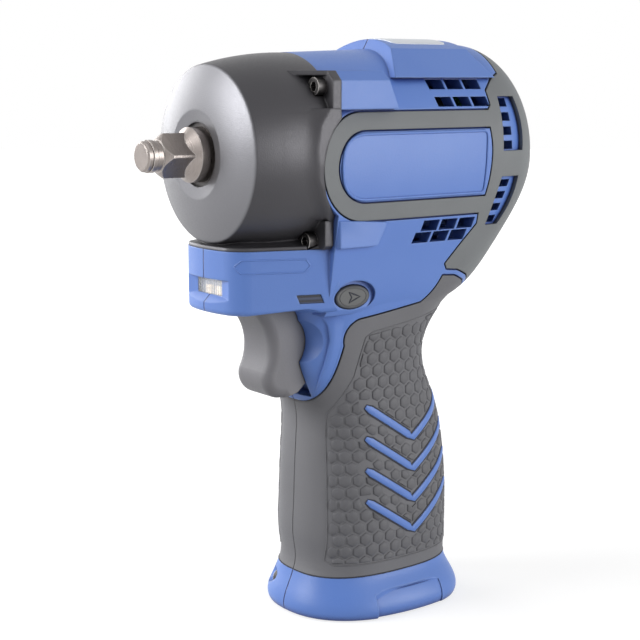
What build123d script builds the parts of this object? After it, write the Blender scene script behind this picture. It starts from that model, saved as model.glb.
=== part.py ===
from build123d import *
import os
from functools import cache
from math import acos, copysign, cos, pi, radians, sin, tan

# Frame in millimetres: origin at the middle of the base rim, +Z up, nose towards -X, left side at -Y.

# Fits and walls
gap = 0.3                   # between pieces that move past each other
running = 0.04              # radial, a shaft in its bush or bearing
groove = 0.5                # round the edge of each overmould
wall = 2.6                  # housing wall
skin = 1.6                  # overmould thickness
rib = 2.2                   # housing ribs
oval_points = 20            # on each oval section

# Drive axis, nose and hammer case
axis_z = 145.0
nose_x = -58.2              # rim of the nose disc
nose_radius = 26.0
nose_edge = 0.4
nose_crown = 3.3            # the disc's middle stands this far in front of its rim
nose_bulge_radius, nose_bulge = 20.0, 1.4
nose_dish = 13.0            # radius of the shallow dish round the shank
nose_dish_depth = 0.6
nose_hole = 9.35
case_back = -30.4           # joint face between hammer case and housing
case_radius = 29.4          # at the joint face
case_waist_x, case_waist_radius = -46.0, 28.4
case_bore = 22.0
case_front = 8.2            # thickness of the front wall at the middle
flange = 3.0
skirt_inset = 0.3           # the skirt over the chin stands this far inside the chin's outline
skirt_edge = 1.0
skirt_fillet, skirt_steps = 6.5, 5
lip_width = 5.6             # raised lip of the case round each cheek
hollow_radius, hollow_depth = 3.4, 1.6
ear_top, ear_height, ear_half = 169.0, 11.0, 28.6
low_ear_bottom, low_ear_height, low_ear_half = 116.0, 10.0, 25.0
ear_bevel = 2.8
# Fairing on the housing behind each ear: length along its lower and its upper edge
fairing_low, fairing_high = 21.5, 16.5
low_fairing_low, low_fairing_high = 14.5, 20.5
fairing_slope = 3.6
gusset_length, gusset_thick = 9.0, 1.3
# Case screws on each side: distance from the middle, height
case_screw_places = (
    (18.8, 119.8),
    (23.2, 164.5),
)
case_screw = 1.5            # shank radius
case_screw_head = 2.6
case_screw_head_length = 3.0
case_screw_length = 12.0
case_screw_socket = 1.5
case_boss = 3.6

# Head of the housing
barrel_z = 143.5
barrel_half = 28.5
barrel_rise = 32.0
barrel_front_rise = 31.0    # at the joint face
barrel_back_rise = 34.0     # at the dome
dome_x = 36.2
dome_length = 24.6
# Each level: height, half width, start of the rounded back, back
head_levels = (
    (97.0, 20.4, 4.0, 25.6),
    (104.0, 23.2, 12.0, 39.8),
    (111.0, 24.4, 19.0, 45.8),
    (122.0, 26.4, 28.0, 53.2),
    (133.0, 28.0, 34.0, 59.2),
    (barrel_z, barrel_half, dome_x, dome_x + dome_length),
)
head_floor = 104.0          # inside
pad_front, pad_back = -5.0, 35.5
pad_base_z, pad_edge_z, pad_top_z = 167.0, 175.8, 178.8
pad_base_half, pad_edge_half = 22.0, 13.5
pad_front_slope, pad_back_slope = 7.0, 6.0

# Chin
chin_front = -59.4
chin_bow = 2.4
chin_corner = 8.5
chin_half_front = 14.0
chin_half_back = 24.0
chin_floor = 98.6
chin_top = 117.5
chin_edge = 1.6

# Grip. Each level: height, front, middle, back, half width, front power, back power
grip_levels = (
    (12.6, -27.4, 0.6, 28.2, 20.4, 2.6, 2.6),
    (23.2, -27.2, 0.6, 28.2, 20.5, 2.6, 2.6),
    (33.8, -27.1, 0.6, 28.2, 20.5, 2.6, 2.6),
    (44.4, -26.7, 0.5, 27.5, 20.2, 2.6, 2.6),
    (55.0, -26.1, 0.0, 25.9, 19.8, 2.6, 2.6),
    (65.6, -26.2, -1.4, 22.8, 19.3, 2.7, 2.6),
    (76.2, -30.3, -3.4, 18.5, 19.0, 3.0, 2.5),
    (86.8, -32.6, -4.0, 19.3, 19.7, 3.3, 2.4),
    (97.0, -33.0, 0.0, 27.8, 21.4, 3.4, 2.3),
    (106.0, -33.0, 6.0, 38.5, 22.3, 3.4, 2.2),
)
flare_levels = (
    (0.0, -30.5, 0.3, 29.8, 25.5, 2.3, 2.8),
    (1.2, -31.0, 0.3, 30.3, 26.0, 2.3, 2.8),
    (5.8, -30.3, 0.4, 29.8, 25.0, 2.3, 2.8),
    (10.2, -28.3, 0.5, 28.6, 21.8, 2.5, 2.6),
    grip_levels[0],
)
grip_skin_floor = grip_levels[0][0]
# Recess in each side of the flare for the battery's release tab
release_front, release_back, release_top, release_half = -12.0, 14.0, 8.2, 22.8

# Battery well in the grip
well_x, well_half_x, well_half_y, well_top = 0.0, 20.7, 15.2, 60.0
well_corner = 11.0
terminal_height = 6.0
terminal_half_x, terminal_half_y = 14.0, 11.0
contact_length, contact_width, contact_thick = 12.0, 5.0, 0.8
contact_pitch = 8.0

# Trigger and its switch
scoop_x, scoop_z = -38.5, 88.0
scoop_inner, scoop_outer, scoop_outer_y = 9.5, 12.0, 20.0
trigger_half = 8.7
trigger_front, trigger_waist, trigger_toe = -46.8, -41.2, -42.9
trigger_back = -27.5
trigger_travel = 6.0
trigger_edge = 3.2
trigger_room = 17.6         # the trigger's channel below the middle of the scoop
plunger_z, plunger_radius = 90.0, 2.0
switch_front, switch_back = -20.0, 4.0
switch_floor, switch_top = 76.0, 97.6
switch_half = 8.0
trigger_spring_radius, trigger_wire, trigger_turns = 3.6, 0.8, 4

# Forward/reverse button
button_x, button_z = -21.0, 102.4
button_half_x, button_half_z = 6.4, 3.5
button_reach = 22.4
button_dish, button_dish_depth = 1.6, 0.8
button_edge = 0.8

# Work light, its controller and the gauge window
lamp_half, lamp_floor, lamp_top = 6.5, 104.0, 109.0
lamp_depth = 2.2            # face of the lens behind the front of the chin
lamp_side_bevel, lamp_floor_bevel = 15.0, 2.2
lens_thick = 1.6
lamp_board = 1.2
lamp_board_gap = 0.8
tray_half, tray_wall, tray_height = 12.5, 1.2, 5.0
transistor_length, transistor_width, transistor_height = 4.4, 4.8, 2.0
transistor_pitch_x, transistor_pitch_y = 6.0, 7.6
gauge_x, gauge_z = -36.4, 103.0
gauge_length, gauge_height, gauge_lean = 7.2, 2.6, 1.0
gauge_thick, gauge_inset = 2.0, 0.4

# Anvil
tip_x = -79.7
tip_radius, tip_length, tip_edge = 4.4, 5.2, 0.6
square_across = 9.525
square_length = 7.8
square_corner = 6.4         # radius over the eased corners
square_lead = 1.9           # chamfer round the front of the square
shank_radius, shank_lead = 8.0, 2.6
ring_groove, ring_wire, ring_proud, ring_slit = 3.6, 1.6, 0.3, 1.0
bush_radius = 10.5
bush_recess = 1.5
lug_radius, lug_length, lug_width = 18.0, 5.2, 11.0
pilot_radius, pilot_length = 4.0, 4.6

# Hammer, spindle and spring
hammer_radius = 21.4
hammer_length = 15.2
hammer_lug_inner, hammer_lug_outer, hammer_lug_width = 11.0, 20.0, 9.0
hammer_travel = 5.6
spindle_radius = 6.0
spring_pocket_inner, spring_pocket_outer, spring_pocket_depth = 9.0, 15.0, 8.0
spring_radius, spring_wire, spring_turns = 12.0, 2.2, 3
ball_radius = 2.2
ball_back = 3.6             # ball centre in front of the hammer's back face

# Planetary gears
module = 0.8
sun_teeth, planet_teeth, planets = 12, 15, 3
ring_teeth = sun_teeth + 2 * planet_teeth
pressure_angle = radians(20)
tooth_addendum, tooth_dedendum = 0.8 * module, 1.05 * module
backlash = 0.12
gear_width = 6.5
flank_steps = 3
ring_radius = 21.5
pin_radius = 1.5
cage_radius = 15.4
cage_front, cage_back = 3.2, 3.2
hub_radius = 7.0
bearing_width = 5.0
race_share, ball_share = 0.3, 0.8    # of a bearing's depth, and of the way round it
spindle_bearing_radius = 13.0

# Motor
shaft_radius = 2.5
motor_bearing_radius = 8.0
gear_shell = 23.6
gear_web = 1.6
stator_radius, stator_yoke, stator_bore, stator_length = 21.5, 18.0, 11.6, 20.0
stator_shoe = 13.0
slots, tooth_width, slot_mouth = 6, 5.6, 2.4
coil_overhang, coil_width, coil_inner, coil_outer = 2.6, 13.0, 13.3, 17.6
rotor_radius, rotor_length = 11.1, 22.0
magnets, magnet_offset, magnet_width, magnet_thick = 4, 8.2, 9.0, 1.8
board = 1.2
board_radius = 20.5
fan_radius, fan_plate, fan_height, fan_hub, fan_blades = 18.5, 1.4, 6.4, 5.0, 11
fan_blade, fan_blade_start, fan_lean = 1.2, 7.0, 25.0
motor_end_gap = 2.4         # clear of the coils, and between the board and the fan

# Housing screws, driven from the right side: place in side view
boss_radius = 3.8
housing_screw, housing_screw_head, housing_screw_head_length = 1.4, 2.8, 2.0
housing_screw_seat = 8.0
housing_screw_tip = -8.0
housing_screw_places = (
    (-25.4, 7.0),
    (26.0, 7.0),
    (12.0, 86.0),
    (-8.0, 111.0),
    (30.0, 110.0),
    (54.5, 139.0),
    (12.0, 174.0),
)

# Places along the drive axis, worked out from the sizes above
hub_x = nose_x - nose_crown
case_inner = hub_x + case_front
bush_front = hub_x + bush_recess
square_front = tip_x + tip_length
square_back = square_front + square_length
anvil_back = case_inner + gap + lug_length
hammer_front = anvil_back + gap
hammer_back = hammer_front + hammer_length
cage_x = hammer_back + hammer_travel + gap
gear_front = cage_x + cage_front + gap
gear_back = gear_front + gear_width
cage_end = gear_back + gap + cage_back
spindle_bearing_x = cage_end + gap
spindle_bearing_end = spindle_bearing_x + bearing_width
front_bearing_x = spindle_bearing_end + gear_web
front_bearing_end = front_bearing_x + bearing_width
coil_front = front_bearing_end + motor_end_gap
stator_front = coil_front + coil_overhang
stator_back = stator_front + stator_length
hall_x = stator_back + coil_overhang + gap
fan_x = hall_x + board + motor_end_gap
rear_bearing_x = fan_x + fan_height + motor_end_gap
rear_bearing_end = rear_bearing_x + bearing_width
planet_orbit = module * (sun_teeth + planet_teeth) / 2
planet_angles = [90 + 360 * k / planets for k in range(planets)]
lens_x = chin_front + lamp_depth
trigger_top = chin_floor - gap


# Shared shapes

def rod(x0, x1, radius, y=0.0, z=axis_z):
    return Pos((x0 + x1) / 2, y, z) * Rot(0, 90, 0) * Cylinder(radius, x1 - x0)


def tube(x0, x1, outer, inner):
    return rod(x0, x1, outer) - rod(x0, x1, inner)


def cross_rod(x, z, radius, y0, y1):
    return Pos(x, (y0 + y1) / 2, z) * Rot(90, 0, 0) * Cylinder(radius, y1 - y0)


def block(x0, x1, y0, y1, z0, z1):
    middle = Pos((x0 + x1) / 2, (y0 + y1) / 2, (z0 + z1) / 2)
    return middle * Box(x1 - x0, y1 - y0, z1 - z0)


def side_prism(face, y0, y1):
    return extrude(Plane.XZ.offset(-y1) * face, y1 - y0)


def front_prism(face, x0, x1):
    return extrude(Plane.YZ.offset(x0) * face, x1 - x0)


def plan_prism(face, z0, z1):
    return extrude(Plane.XY.offset(z0) * face, z1 - z0)


def polygon(*points):
    return make_face(Polyline(*points, close=True))


def turned(*points):
    profile = polygon(*[(x, axis_z + radius) for x, radius in points])
    return revolve(Plane.XZ * profile, Axis((0, 0, axis_z), (1, 0, 0)))


def both_sides(part):
    return part + mirror(part, about=Plane.XZ)


def about_axis(angle):
    return Pos(0, 0, axis_z) * Rot(angle, 0, 0) * Pos(0, 0, -axis_z)


def oval(z, front, middle, back, half, front_power, back_power, inset=0.0):
    points = []
    for step in range(oval_points):
        along = cos(2 * pi * step / oval_points)
        across = sin(2 * pi * step / oval_points)
        reach = back - middle if along > 0 else middle - front
        power = back_power if along > 0 else front_power
        x = middle + copysign((reach - inset) * abs(along) ** (2 / power), along)
        y = copysign((half - inset) * abs(across) ** (2 / power), across)
        points.append((x, y))
    return Plane.XY.offset(z) * make_face(Spline(*points, periodic=True))


# Outer forms of the housing, each also at an inset

@cache
def grip_form(inset):
    return loft([oval(*level, inset=inset) for level in grip_levels])


def flare_form():
    return loft([oval(*level) for level in flare_levels])


def head_level(z, half, middle, back, inset):
    side = half - inset
    outline = Line((case_back, -side), (middle, -side))
    outline += EllipticalCenterArc((middle, 0), back - middle - inset, side, start_angle=-90, arc_size=180)
    outline += Line((middle, side), (case_back, side))
    outline += Line((case_back, side), (case_back, -side))
    return Plane.XY.offset(z) * make_face(outline)


def barrel_section(x, rise, inset):
    half = barrel_half - inset
    arch = EllipticalCenterArc((0, barrel_z), half, rise - inset, start_angle=0, arc_size=180)
    return Plane.YZ.offset(x) * make_face(arch + Line((-half, barrel_z), (half, barrel_z)))


def dome(inset):
    half, rise = barrel_half - inset, barrel_back_rise - inset
    back = dome_x + dome_length - inset
    profile = Line((dome_x, 0), (dome_x, rise))
    profile += EllipticalCenterArc((dome_x, 0), back - dome_x, rise, start_angle=90, arc_size=-90)
    profile += Line((back, 0), (dome_x, 0))
    quarter = revolve(make_face(profile), Axis.X, 180)
    return Pos(0, 0, barrel_z) * scale(quarter, by=(1, half / rise, 1))


@cache
def head_form(inset):
    lower = loft([head_level(*level, inset) for level in head_levels])
    places = ((case_back, barrel_front_rise), (pad_front, barrel_rise), (dome_x, barrel_back_rise))
    upper = loft([barrel_section(x, rise, inset) for x, rise in places], ruled=True)
    return lower + upper + dome(inset)


def pad_form():
    section = Line((-pad_base_half, pad_base_z), (pad_base_half, pad_base_z))
    section += Line((pad_base_half, pad_base_z), (pad_edge_half, pad_edge_z))
    section += ThreePointArc((pad_edge_half, pad_edge_z), (0, pad_top_z), (-pad_edge_half, pad_edge_z))
    section += Line((-pad_edge_half, pad_edge_z), (-pad_base_half, pad_base_z))
    side = polygon(
        (pad_front, pad_base_z),
        (pad_front + pad_front_slope, pad_top_z),
        (pad_back - pad_back_slope, pad_top_z),
        (pad_back, pad_base_z),
    )
    body = front_prism(make_face(section), pad_front, pad_back)
    return body & side_prism(side, -pad_base_half, pad_base_half)


def upper_ear():
    return polygon(
        (ear_half / 2, ear_top - ear_height),
        (ear_half, ear_top - ear_height),
        (ear_half, ear_top - ear_bevel),
        (ear_half - ear_bevel, ear_top),
        (ear_half / 2, ear_top),
    )


def lower_ear():
    return polygon(
        (low_ear_half / 2, low_ear_bottom + low_ear_height),
        (low_ear_half, low_ear_bottom + low_ear_height),
        (low_ear_half, low_ear_bottom + ear_bevel),
        (low_ear_half - ear_bevel, low_ear_bottom),
        (low_ear_half / 2, low_ear_bottom),
    )


def fairing_section(y, bottom, top, low_end, high_end):
    outline = polygon((case_back, bottom), (low_end, bottom), (high_end, top), (case_back, top))
    return Plane.XZ.offset(-y) * outline


def fairing(ear, half, bottom, height, low_length, high_length):
    low_end, high_end = case_back + low_length, case_back + high_length
    top = bottom + height
    outer = fairing_section(half, bottom, top, low_end, high_end)
    inner = fairing_section(half / 2, bottom, top, low_end + fairing_slope, high_end + fairing_slope)
    length = max(low_length, high_length) + fairing_slope
    body = front_prism(ear, case_back, case_back + length) & loft([inner, outer], ruled=True)
    return both_sides(body)


def fairings():
    upper = fairing(upper_ear(), ear_half, ear_top - ear_height, ear_height, fairing_low, fairing_high)
    bottom, height = low_ear_bottom, low_ear_height
    lower = fairing(lower_ear(), low_ear_half, bottom, height, low_fairing_low, low_fairing_high)
    return upper + lower


def chin_outline():
    corner_x = chin_front + chin_bow
    back = case_back + flange
    front = ThreePointArc((corner_x, -chin_half_front), (chin_front, 0), (corner_x, chin_half_front))
    outline = front + Line((corner_x, chin_half_front), (back, chin_half_back))
    outline += Line((back, chin_half_back), (back, -chin_half_back))
    outline += Line((back, -chin_half_back), (corner_x, -chin_half_front))
    face = make_face(outline)
    return fillet(face.vertices().group_by(Axis.X)[0], chin_corner)


def chin_form():
    body = plan_prism(chin_outline(), chin_floor, chin_top)
    return fillet(body.faces().sort_by(Axis.Z)[0].edges(), chin_edge)


def scoop_section(y, radius):
    low, high = scoop_z - radius, scoop_z + radius
    outline = ThreePointArc((scoop_x, high), (scoop_x + radius, scoop_z), (scoop_x, low))
    outline += Polyline((scoop_x, low), (chin_front, low), (chin_front, high), (scoop_x, high))
    return Plane.XZ.offset(y) * make_face(outline)


def finger_scoop():
    rise = (scoop_outer - scoop_inner) / (scoop_outer_y - trigger_half)
    reach = barrel_half + gap
    outer = scoop_inner + rise * (reach - trigger_half)
    sections = [scoop_section(trigger_half, scoop_inner), scoop_section(reach, outer)]
    return both_sides(loft(sections, ruled=True))


def trigger_channel():
    half = trigger_half + gap
    reach = trigger_back + trigger_travel + gap
    return block(chin_front, reach, -half, half, scoop_z - trigger_room, chin_floor)


# Overmould outlines in side view

ring_x, ring_z = -20.5, 141.3
ring_outer, ring_inner = 15.8, 10.7
plate_back = 29.2
plate_top_inset, plate_floor_inset = 0.4, 2.2
cheek_border = 1.1


def head_skin_outline():
    top, bottom = ring_z + ring_outer, ring_z - ring_outer
    outline = ThreePointArc((ring_x, top), (ring_x - ring_outer, ring_z), (ring_x, bottom))
    outline += Polyline(
        (ring_x, bottom),
        (25.0, bottom),
        (24.9, 122.0),
        (18.8, 115.5),
        (13.8, 110.0),
        (14.7, 108.4),
        (19.4, 107.9),
        (25.5, 105.6),
        (32.0, 100.0),
        (70.0, 96.0),
        (70.0, 182.0),
        (40.5, 182.0),
        (39.0, 168.2),
        (34.9, 166.6),
        (30.6, 162.9),
        (30.6, 158.6),
        (29.2, top),
        (ring_x, top),
    )
    return make_face(outline)


def plate_outline():
    top, bottom = ring_z + ring_inner, ring_z - ring_inner
    low_back, top_back = plate_back - plate_floor_inset, plate_back - plate_top_inset
    outline = ThreePointArc((ring_x, top), (ring_x - ring_inner, ring_z), (ring_x, bottom))
    outline += Line((ring_x, bottom), (low_back, bottom))
    outline += ThreePointArc((low_back, bottom), (plate_back, ring_z), (top_back, top))
    outline += Line((top_back, top), (ring_x, top))
    return make_face(outline)


def window_outlines():
    upper = Polyline((43.0, 144.4), (33.8, 144.4), (34.4, 161.2), (42.0, 161.2))
    upper += ThreePointArc((42.0, 161.2), (43.4, 153.0), (43.0, 144.4))
    lower = Polyline((34.4, 121.3), (28.4, 121.3), (33.5, 136.4), (41.5, 136.4))
    lower += ThreePointArc((41.5, 136.4), (39.2, 128.4), (34.4, 121.3))
    return make_face(upper) + make_face(lower)


def grip_skin_outline():
    outline = Polyline((45.0, grip_skin_floor), (-40.0, grip_skin_floor), (-40.0, 66.4), (-26.6, 67.5))
    outline += ThreePointArc((-26.6, 67.5), (-23.7, 76.4), (-21.1, 87.0))
    outline += ThreePointArc((-21.1, 87.0), (-19.9, 92.8), (-16.6, 94.9))
    outline += Line((-16.6, 94.9), (6.4, 98.1))
    outline += ThreePointArc((6.4, 98.1), (9.6, 100.9), (13.4, 106.2))
    outline += Polyline(
        (13.4, 106.2),
        (18.4, 105.8),
        (24.0, 103.6),
        (30.6, 97.6),
        (45.0, 92.0),
        (45.0, grip_skin_floor),
    )
    return make_face(outline)


vent_pitch, vent_bar = 7.25, 0.9
# Each row: start, floor, top, lean of the slots
vent_rows = (
    (7.9, 163.5, 166.4, -0.1),
    (9.2, 158.3, 161.2, -0.6),
    (1.8, 121.0, 124.2, 1.0),
    (-1.2, 117.4, 120.6, 1.2),
)
vent_slots = 3
window_slots, window_slot, window_bar = 4, 2.6, 1.8
window_slot_length = 4.6
# Lowest left corner of the upper and lower window's slots, and how each lower slot steps back
upper_slot_x, upper_slot_z = 34.6, 144.8
low_slot_x, low_slot_z, low_slot_step, low_slot_lean = 29.0, 121.9, 1.4, 0.9
low_slot_share = 0.85


def vents():
    slots_face = Sketch()
    for start, floor, top, lean in vent_rows:
        for count in range(vent_slots):
            left = start + count * vent_pitch
            right = left + vent_pitch - vent_bar
            slots_face += polygon((left, floor), (right, floor), (right + lean, top), (left + lean, top))
    reach = barrel_half + gap
    return both_sides(side_prism(slots_face, -reach, -reach / 2))


def window_vents():
    slots_face = Sketch()
    for count in range(window_slots):
        step = count * (window_slot + window_bar)
        left, right = upper_slot_x, upper_slot_x + window_slot_length
        low = upper_slot_z + step
        high = low + window_slot
        slots_face += polygon((left, low), (right, low), (right, high), (left, high))
        left = low_slot_x + count * low_slot_step
        right = left + window_slot_length
        low = low_slot_z + step * low_slot_share
        high = low + window_slot * low_slot_share
        lean = low_slot_lean
        slots_face += polygon((left, low), (right, low), (right + lean, high), (left + lean, high))
    reach = barrel_half + gap
    return both_sides(side_prism(slots_face, -reach, -reach / 2))


# Housing halves and overmoulds

@cache
def cheeks(inset):
    radius = ring_outer + cheek_border
    front = head_form(inset).faces().filter_by(lambda face: abs(face.center().X - case_back) < 0.01)
    slab = Part() + [extrude(face, radius, dir=(-1, 0, 0)) for face in front]
    disc = cross_rod(ring_x, ring_z, radius, -barrel_half, -case_bore - wall)
    return both_sides(slab & disc)


@cache
def body_form(inset):
    return grip_form(inset) + head_form(inset) + cheeks(inset)


def head_skins():
    region = head_skin_outline() - plate_outline() - window_outlines()
    shell = body_form(0) - body_form(skin) - pad_form()
    return shell & side_prism(region, -2 * barrel_half, 2 * barrel_half)


def head_skin_pocket():
    region = offset(head_skin_outline(), groove)
    slab = side_prism(region - offset(plate_outline(), -groove), -2 * barrel_half, 2 * barrel_half)
    return slab - body_form(skin) - pad_form()


def grip_skins():
    shell = body_form(0) - body_form(skin)
    return shell & side_prism(grip_skin_outline(), -barrel_half, barrel_half)


def grip_skin_pocket():
    region = offset(grip_skin_outline(), groove)
    slab = side_prism(region, -barrel_half, barrel_half)
    slab -= block(chin_front, -chin_front, -barrel_half, barrel_half, 0, grip_skin_floor)
    return slab - body_form(skin)


def screw_bosses():
    bosses = Part()
    for x, z in housing_screw_places:
        bosses += cross_rod(x, z, boss_radius, -2 * barrel_half, 2 * barrel_half)
    return bosses


def screw_holes():
    holes = Part()
    for x, z in housing_screw_places:
        head_end = housing_screw_seat + 3 * barrel_half
        holes += cross_rod(x, z, housing_screw, housing_screw_tip, housing_screw_seat)
        holes += cross_rod(x, z, housing_screw_head + gap, housing_screw_seat, head_end)
    return holes


def case_screw_holes():
    holes = Part()
    seat = case_back - flange
    for y, z in case_screw_places:
        holes += rod(seat, seat + case_screw_length, case_screw + running, y, z)
        holes += rod(seat - case_screw_head_length - gap, seat, case_screw_head + gap, y, z)
    return both_sides(holes)


def case_bosses():
    end = case_back - flange + case_screw_length + wall
    bosses = Part()
    for y, z in case_screw_places:
        bosses += rod(case_back, end, case_boss, y, z)
    return both_sides(bosses)


def ribs(cavity):
    plates = Part()
    for x, radius in (
        (case_back + flange, gear_shell),
        (spindle_bearing_x, gear_shell),
        (stator_front + rib, stator_radius),
        (stator_back - 2 * rib, stator_radius),
    ):
        plates += block(x, x + rib, -barrel_half, barrel_half, chin_top, pad_base_z) - rod(x, x + rib, radius)
    seat = block(rear_bearing_x, rear_bearing_end, -barrel_half, barrel_half, chin_top, pad_base_z)
    plates += seat - rod(rear_bearing_x, rear_bearing_end, motor_bearing_radius)
    return plates & cavity


def lamp_window():
    return block(lens_x, chin_front + chin_corner, -lamp_half, lamp_half, lamp_floor, lamp_top)


def lamp_recess():
    wide = lamp_half + lamp_side_bevel
    plan = polygon((lens_x, -lamp_half), (lens_x, lamp_half), (chin_front, wide), (chin_front, -wide))
    low = lamp_floor - lamp_floor_bevel
    side = polygon((lens_x, lamp_floor), (lens_x, lamp_top), (chin_front, lamp_top), (chin_front, low))
    return plan_prism(plan, low, lamp_top) & side_prism(side, -wide, wide)


def gauge_face(border):
    left = gauge_x - gauge_length / 2 - border
    right = gauge_x + gauge_length / 2 + border
    low, high = gauge_z - gauge_height / 2 - border, gauge_z + gauge_height / 2 + border
    return polygon((left + gauge_lean, low), (right + gauge_lean, low), (right, high), (left, high))


def button_face(border):
    return Pos(button_x, button_z) * Ellipse(button_half_x + border, button_half_z + border)


def inner_spaces():
    cavity = split(head_form(wall + skin), bisect_by=Plane.XY.offset(head_floor), keep=Keep.TOP)
    chin_room = plan_prism(offset(chin_outline(), -wall), chin_floor + wall, chin_top - wall)
    mouth = Pos(well_x, 0) * RectangleRounded(2 * well_half_x, 2 * well_half_y, well_corner)
    well = plan_prism(mouth, 0, well_top)
    terminal = block(
        well_x - terminal_half_x, well_x + terminal_half_x,
        -terminal_half_y, terminal_half_y, well_top, well_top + terminal_height,
    )
    switch_room = block(switch_front, switch_back, -switch_half, switch_half, switch_floor, switch_top)
    spring_way = rod(trigger_back, switch_front, trigger_spring_radius + trigger_wire / 2 + gap, 0, plunger_z)
    lead_way = block(switch_front, switch_back, -switch_half, switch_half, switch_top, head_floor + wall)
    rooms = cavity - ribs(cavity) - screw_bosses() - case_bosses() + chin_room
    return rooms + well + terminal + switch_room + lead_way + spring_way


def release_recesses():
    return both_sides(block(release_front, release_back, -barrel_half, -release_half, 0, release_top))


def housing():
    outer = body_form(0) + flare_form() - release_recesses()
    outer -= head_skin_pocket()
    outer -= grip_skin_pocket()
    outer += chin_form()
    outer += pad_form()
    outer += fairings()
    outer -= inner_spaces()
    outer -= finger_scoop() + trigger_channel()
    outer -= vents() + window_vents()
    outer -= screw_holes() + case_screw_holes()
    outer -= lamp_window() + lamp_recess()
    outer -= side_prism(button_face(gap), -2 * barrel_half, 2 * barrel_half)
    outer -= both_sides(side_prism(button_face(button_dish), -barrel_half, button_dish_depth - button_reach))
    outer -= side_prism(gauge_face(0), -barrel_half, -chin_half_front)
    return outer


# Hammer case

def case_shell():
    rim = axis_z + nose_radius - nose_edge
    dish, bulge = axis_z + nose_dish, axis_z + nose_bulge_radius
    corner = (nose_x + nose_edge, axis_z + nose_radius)
    back = (case_back, axis_z + case_radius)
    outline = ThreePointArc((hub_x, dish), (hub_x + nose_bulge, bulge), (nose_x, rim))
    outline += Line((nose_x, rim), corner)
    outline += ThreePointArc(corner, (case_waist_x, axis_z + case_waist_radius), back)
    outline += Polyline(
        back,
        (case_back, axis_z + case_bore),
        (case_inner, axis_z + case_bore),
        (case_inner, axis_z + bush_radius),
        (bush_front, axis_z + bush_radius),
        (bush_front, axis_z + nose_hole),
        (hub_x + nose_dish_depth, axis_z + nose_hole),
        (hub_x, dish),
    )
    return revolve(Plane.XZ * make_face(outline), Axis((0, 0, axis_z), (1, 0, 0)))


def skirt_form():
    levels = []
    for step in range(skirt_steps + 1):
        turn = pi / 2 * step / skirt_steps
        outline = offset(chin_outline(), -skirt_inset - skirt_fillet * sin(turn))
        rise = skirt_edge + skirt_fillet * (1 - cos(turn))
        levels.append(Plane.XY.offset(chin_top + rise) * outline)
    base = plan_prism(offset(chin_outline(), -skirt_inset), chin_top, chin_top + skirt_edge)
    return base + loft(levels, ruled=True)


def gussets():
    seat = case_back - flange
    face = polygon(
        (seat, ear_half / 2),
        (seat, ear_half - ear_bevel),
        (seat - gusset_length, ear_half / 2),
    )
    return both_sides(plan_prism(face, ear_top - gusset_thick, ear_top))


def cheek_hollows():
    ring = ring_outer + cheek_border + gap + lip_width + hollow_radius
    depth = barrel_half - hollow_depth + hollow_radius
    hollow = Pos(ring_x, -depth, ring_z) * Rot(90, 0, 0) * Torus(ring, hollow_radius)
    return both_sides(hollow)


def hammer_case():
    ears = both_sides(front_prism(upper_ear() + lower_ear(), case_back - flange, case_back))
    outside = skirt_form() + ears + gussets() - rod(chin_front, case_back, case_bore)
    outside &= block(chin_front, case_back, -barrel_half - gap, barrel_half + gap, chin_top, ear_top)
    radius = ring_outer + cheek_border + gap
    scoop = cross_rod(ring_x, ring_z, radius, -2 * barrel_half, -case_bore - wall + gap)
    below = block(hub_x, case_back, -barrel_half, barrel_half, chin_floor, chin_top)
    solid = case_shell() - cheek_hollows() + outside
    return solid - both_sides(scoop) - case_screw_holes() - below


def case_screws():
    screws = Part()
    seat = case_back - flange
    head = seat - case_screw_head_length
    for y, z in case_screw_places:
        screw = rod(seat, seat + case_screw_length, case_screw, y, z)
        screw += rod(head, seat, case_screw_head, y, z)
        socket = Pos(y, z) * RegularPolygon(case_screw_socket, 6)
        screws += screw - front_prism(socket, head, seat - case_screw_head_length / 3)
    return both_sides(screws)


def housing_screws():
    screws = Part()
    for x, z in housing_screw_places:
        head_end = housing_screw_seat + housing_screw_head_length
        screw = cross_rod(x, z, housing_screw, housing_screw_tip, housing_screw_seat)
        screw += cross_rod(x, z, housing_screw_head, housing_screw_seat, head_end)
        socket = Pos(x, z) * RegularPolygon(housing_screw, 6)
        screws += screw - side_prism(socket, head_end - housing_screw_head_length / 2, head_end)
    return screws


# Impact mechanism

def anvil():
    square_end = square_back + shank_lead
    square_face = Pos(0, axis_z) * Rot(0, 0, 45) * Rectangle(square_across, square_across)
    square = front_prism(square_face, square_front, square_end)
    square &= turned(
        (square_front, 0),
        (square_front, square_across / 2),
        (square_front + square_lead, square_corner),
        (square_end, square_corner),
        (square_end, 0),
    )
    groove_x = tip_x + tip_length / 2
    tip = turned(
        (tip_x, 0),
        (tip_x, tip_radius - tip_edge),
        (tip_x + tip_edge, tip_radius),
        (groove_x - ring_wire / 2, tip_radius),
        (groove_x - ring_wire / 2, ring_groove),
        (groove_x + ring_wire / 2, ring_groove),
        (groove_x + ring_wire / 2, tip_radius),
        (square_front, tip_radius),
        (square_front, 0),
    )
    lug_front = case_inner + gap
    shank = turned(
        (square_back, 0),
        (square_back, square_across / 2),
        (square_end, shank_radius),
        (lug_front, shank_radius),
        (lug_front, bush_radius),
        (anvil_back, bush_radius),
        (anvil_back, 0),
    )
    half = lug_width / 2
    lugs = block(lug_front, anvil_back, -half, half, axis_z - lug_radius, axis_z + lug_radius)
    lugs &= rod(lug_front, anvil_back, lug_radius)
    bore = rod(anvil_back - pilot_length - gap, anvil_back, pilot_radius + running)
    return tip + square + shank + lugs - bore


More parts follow.
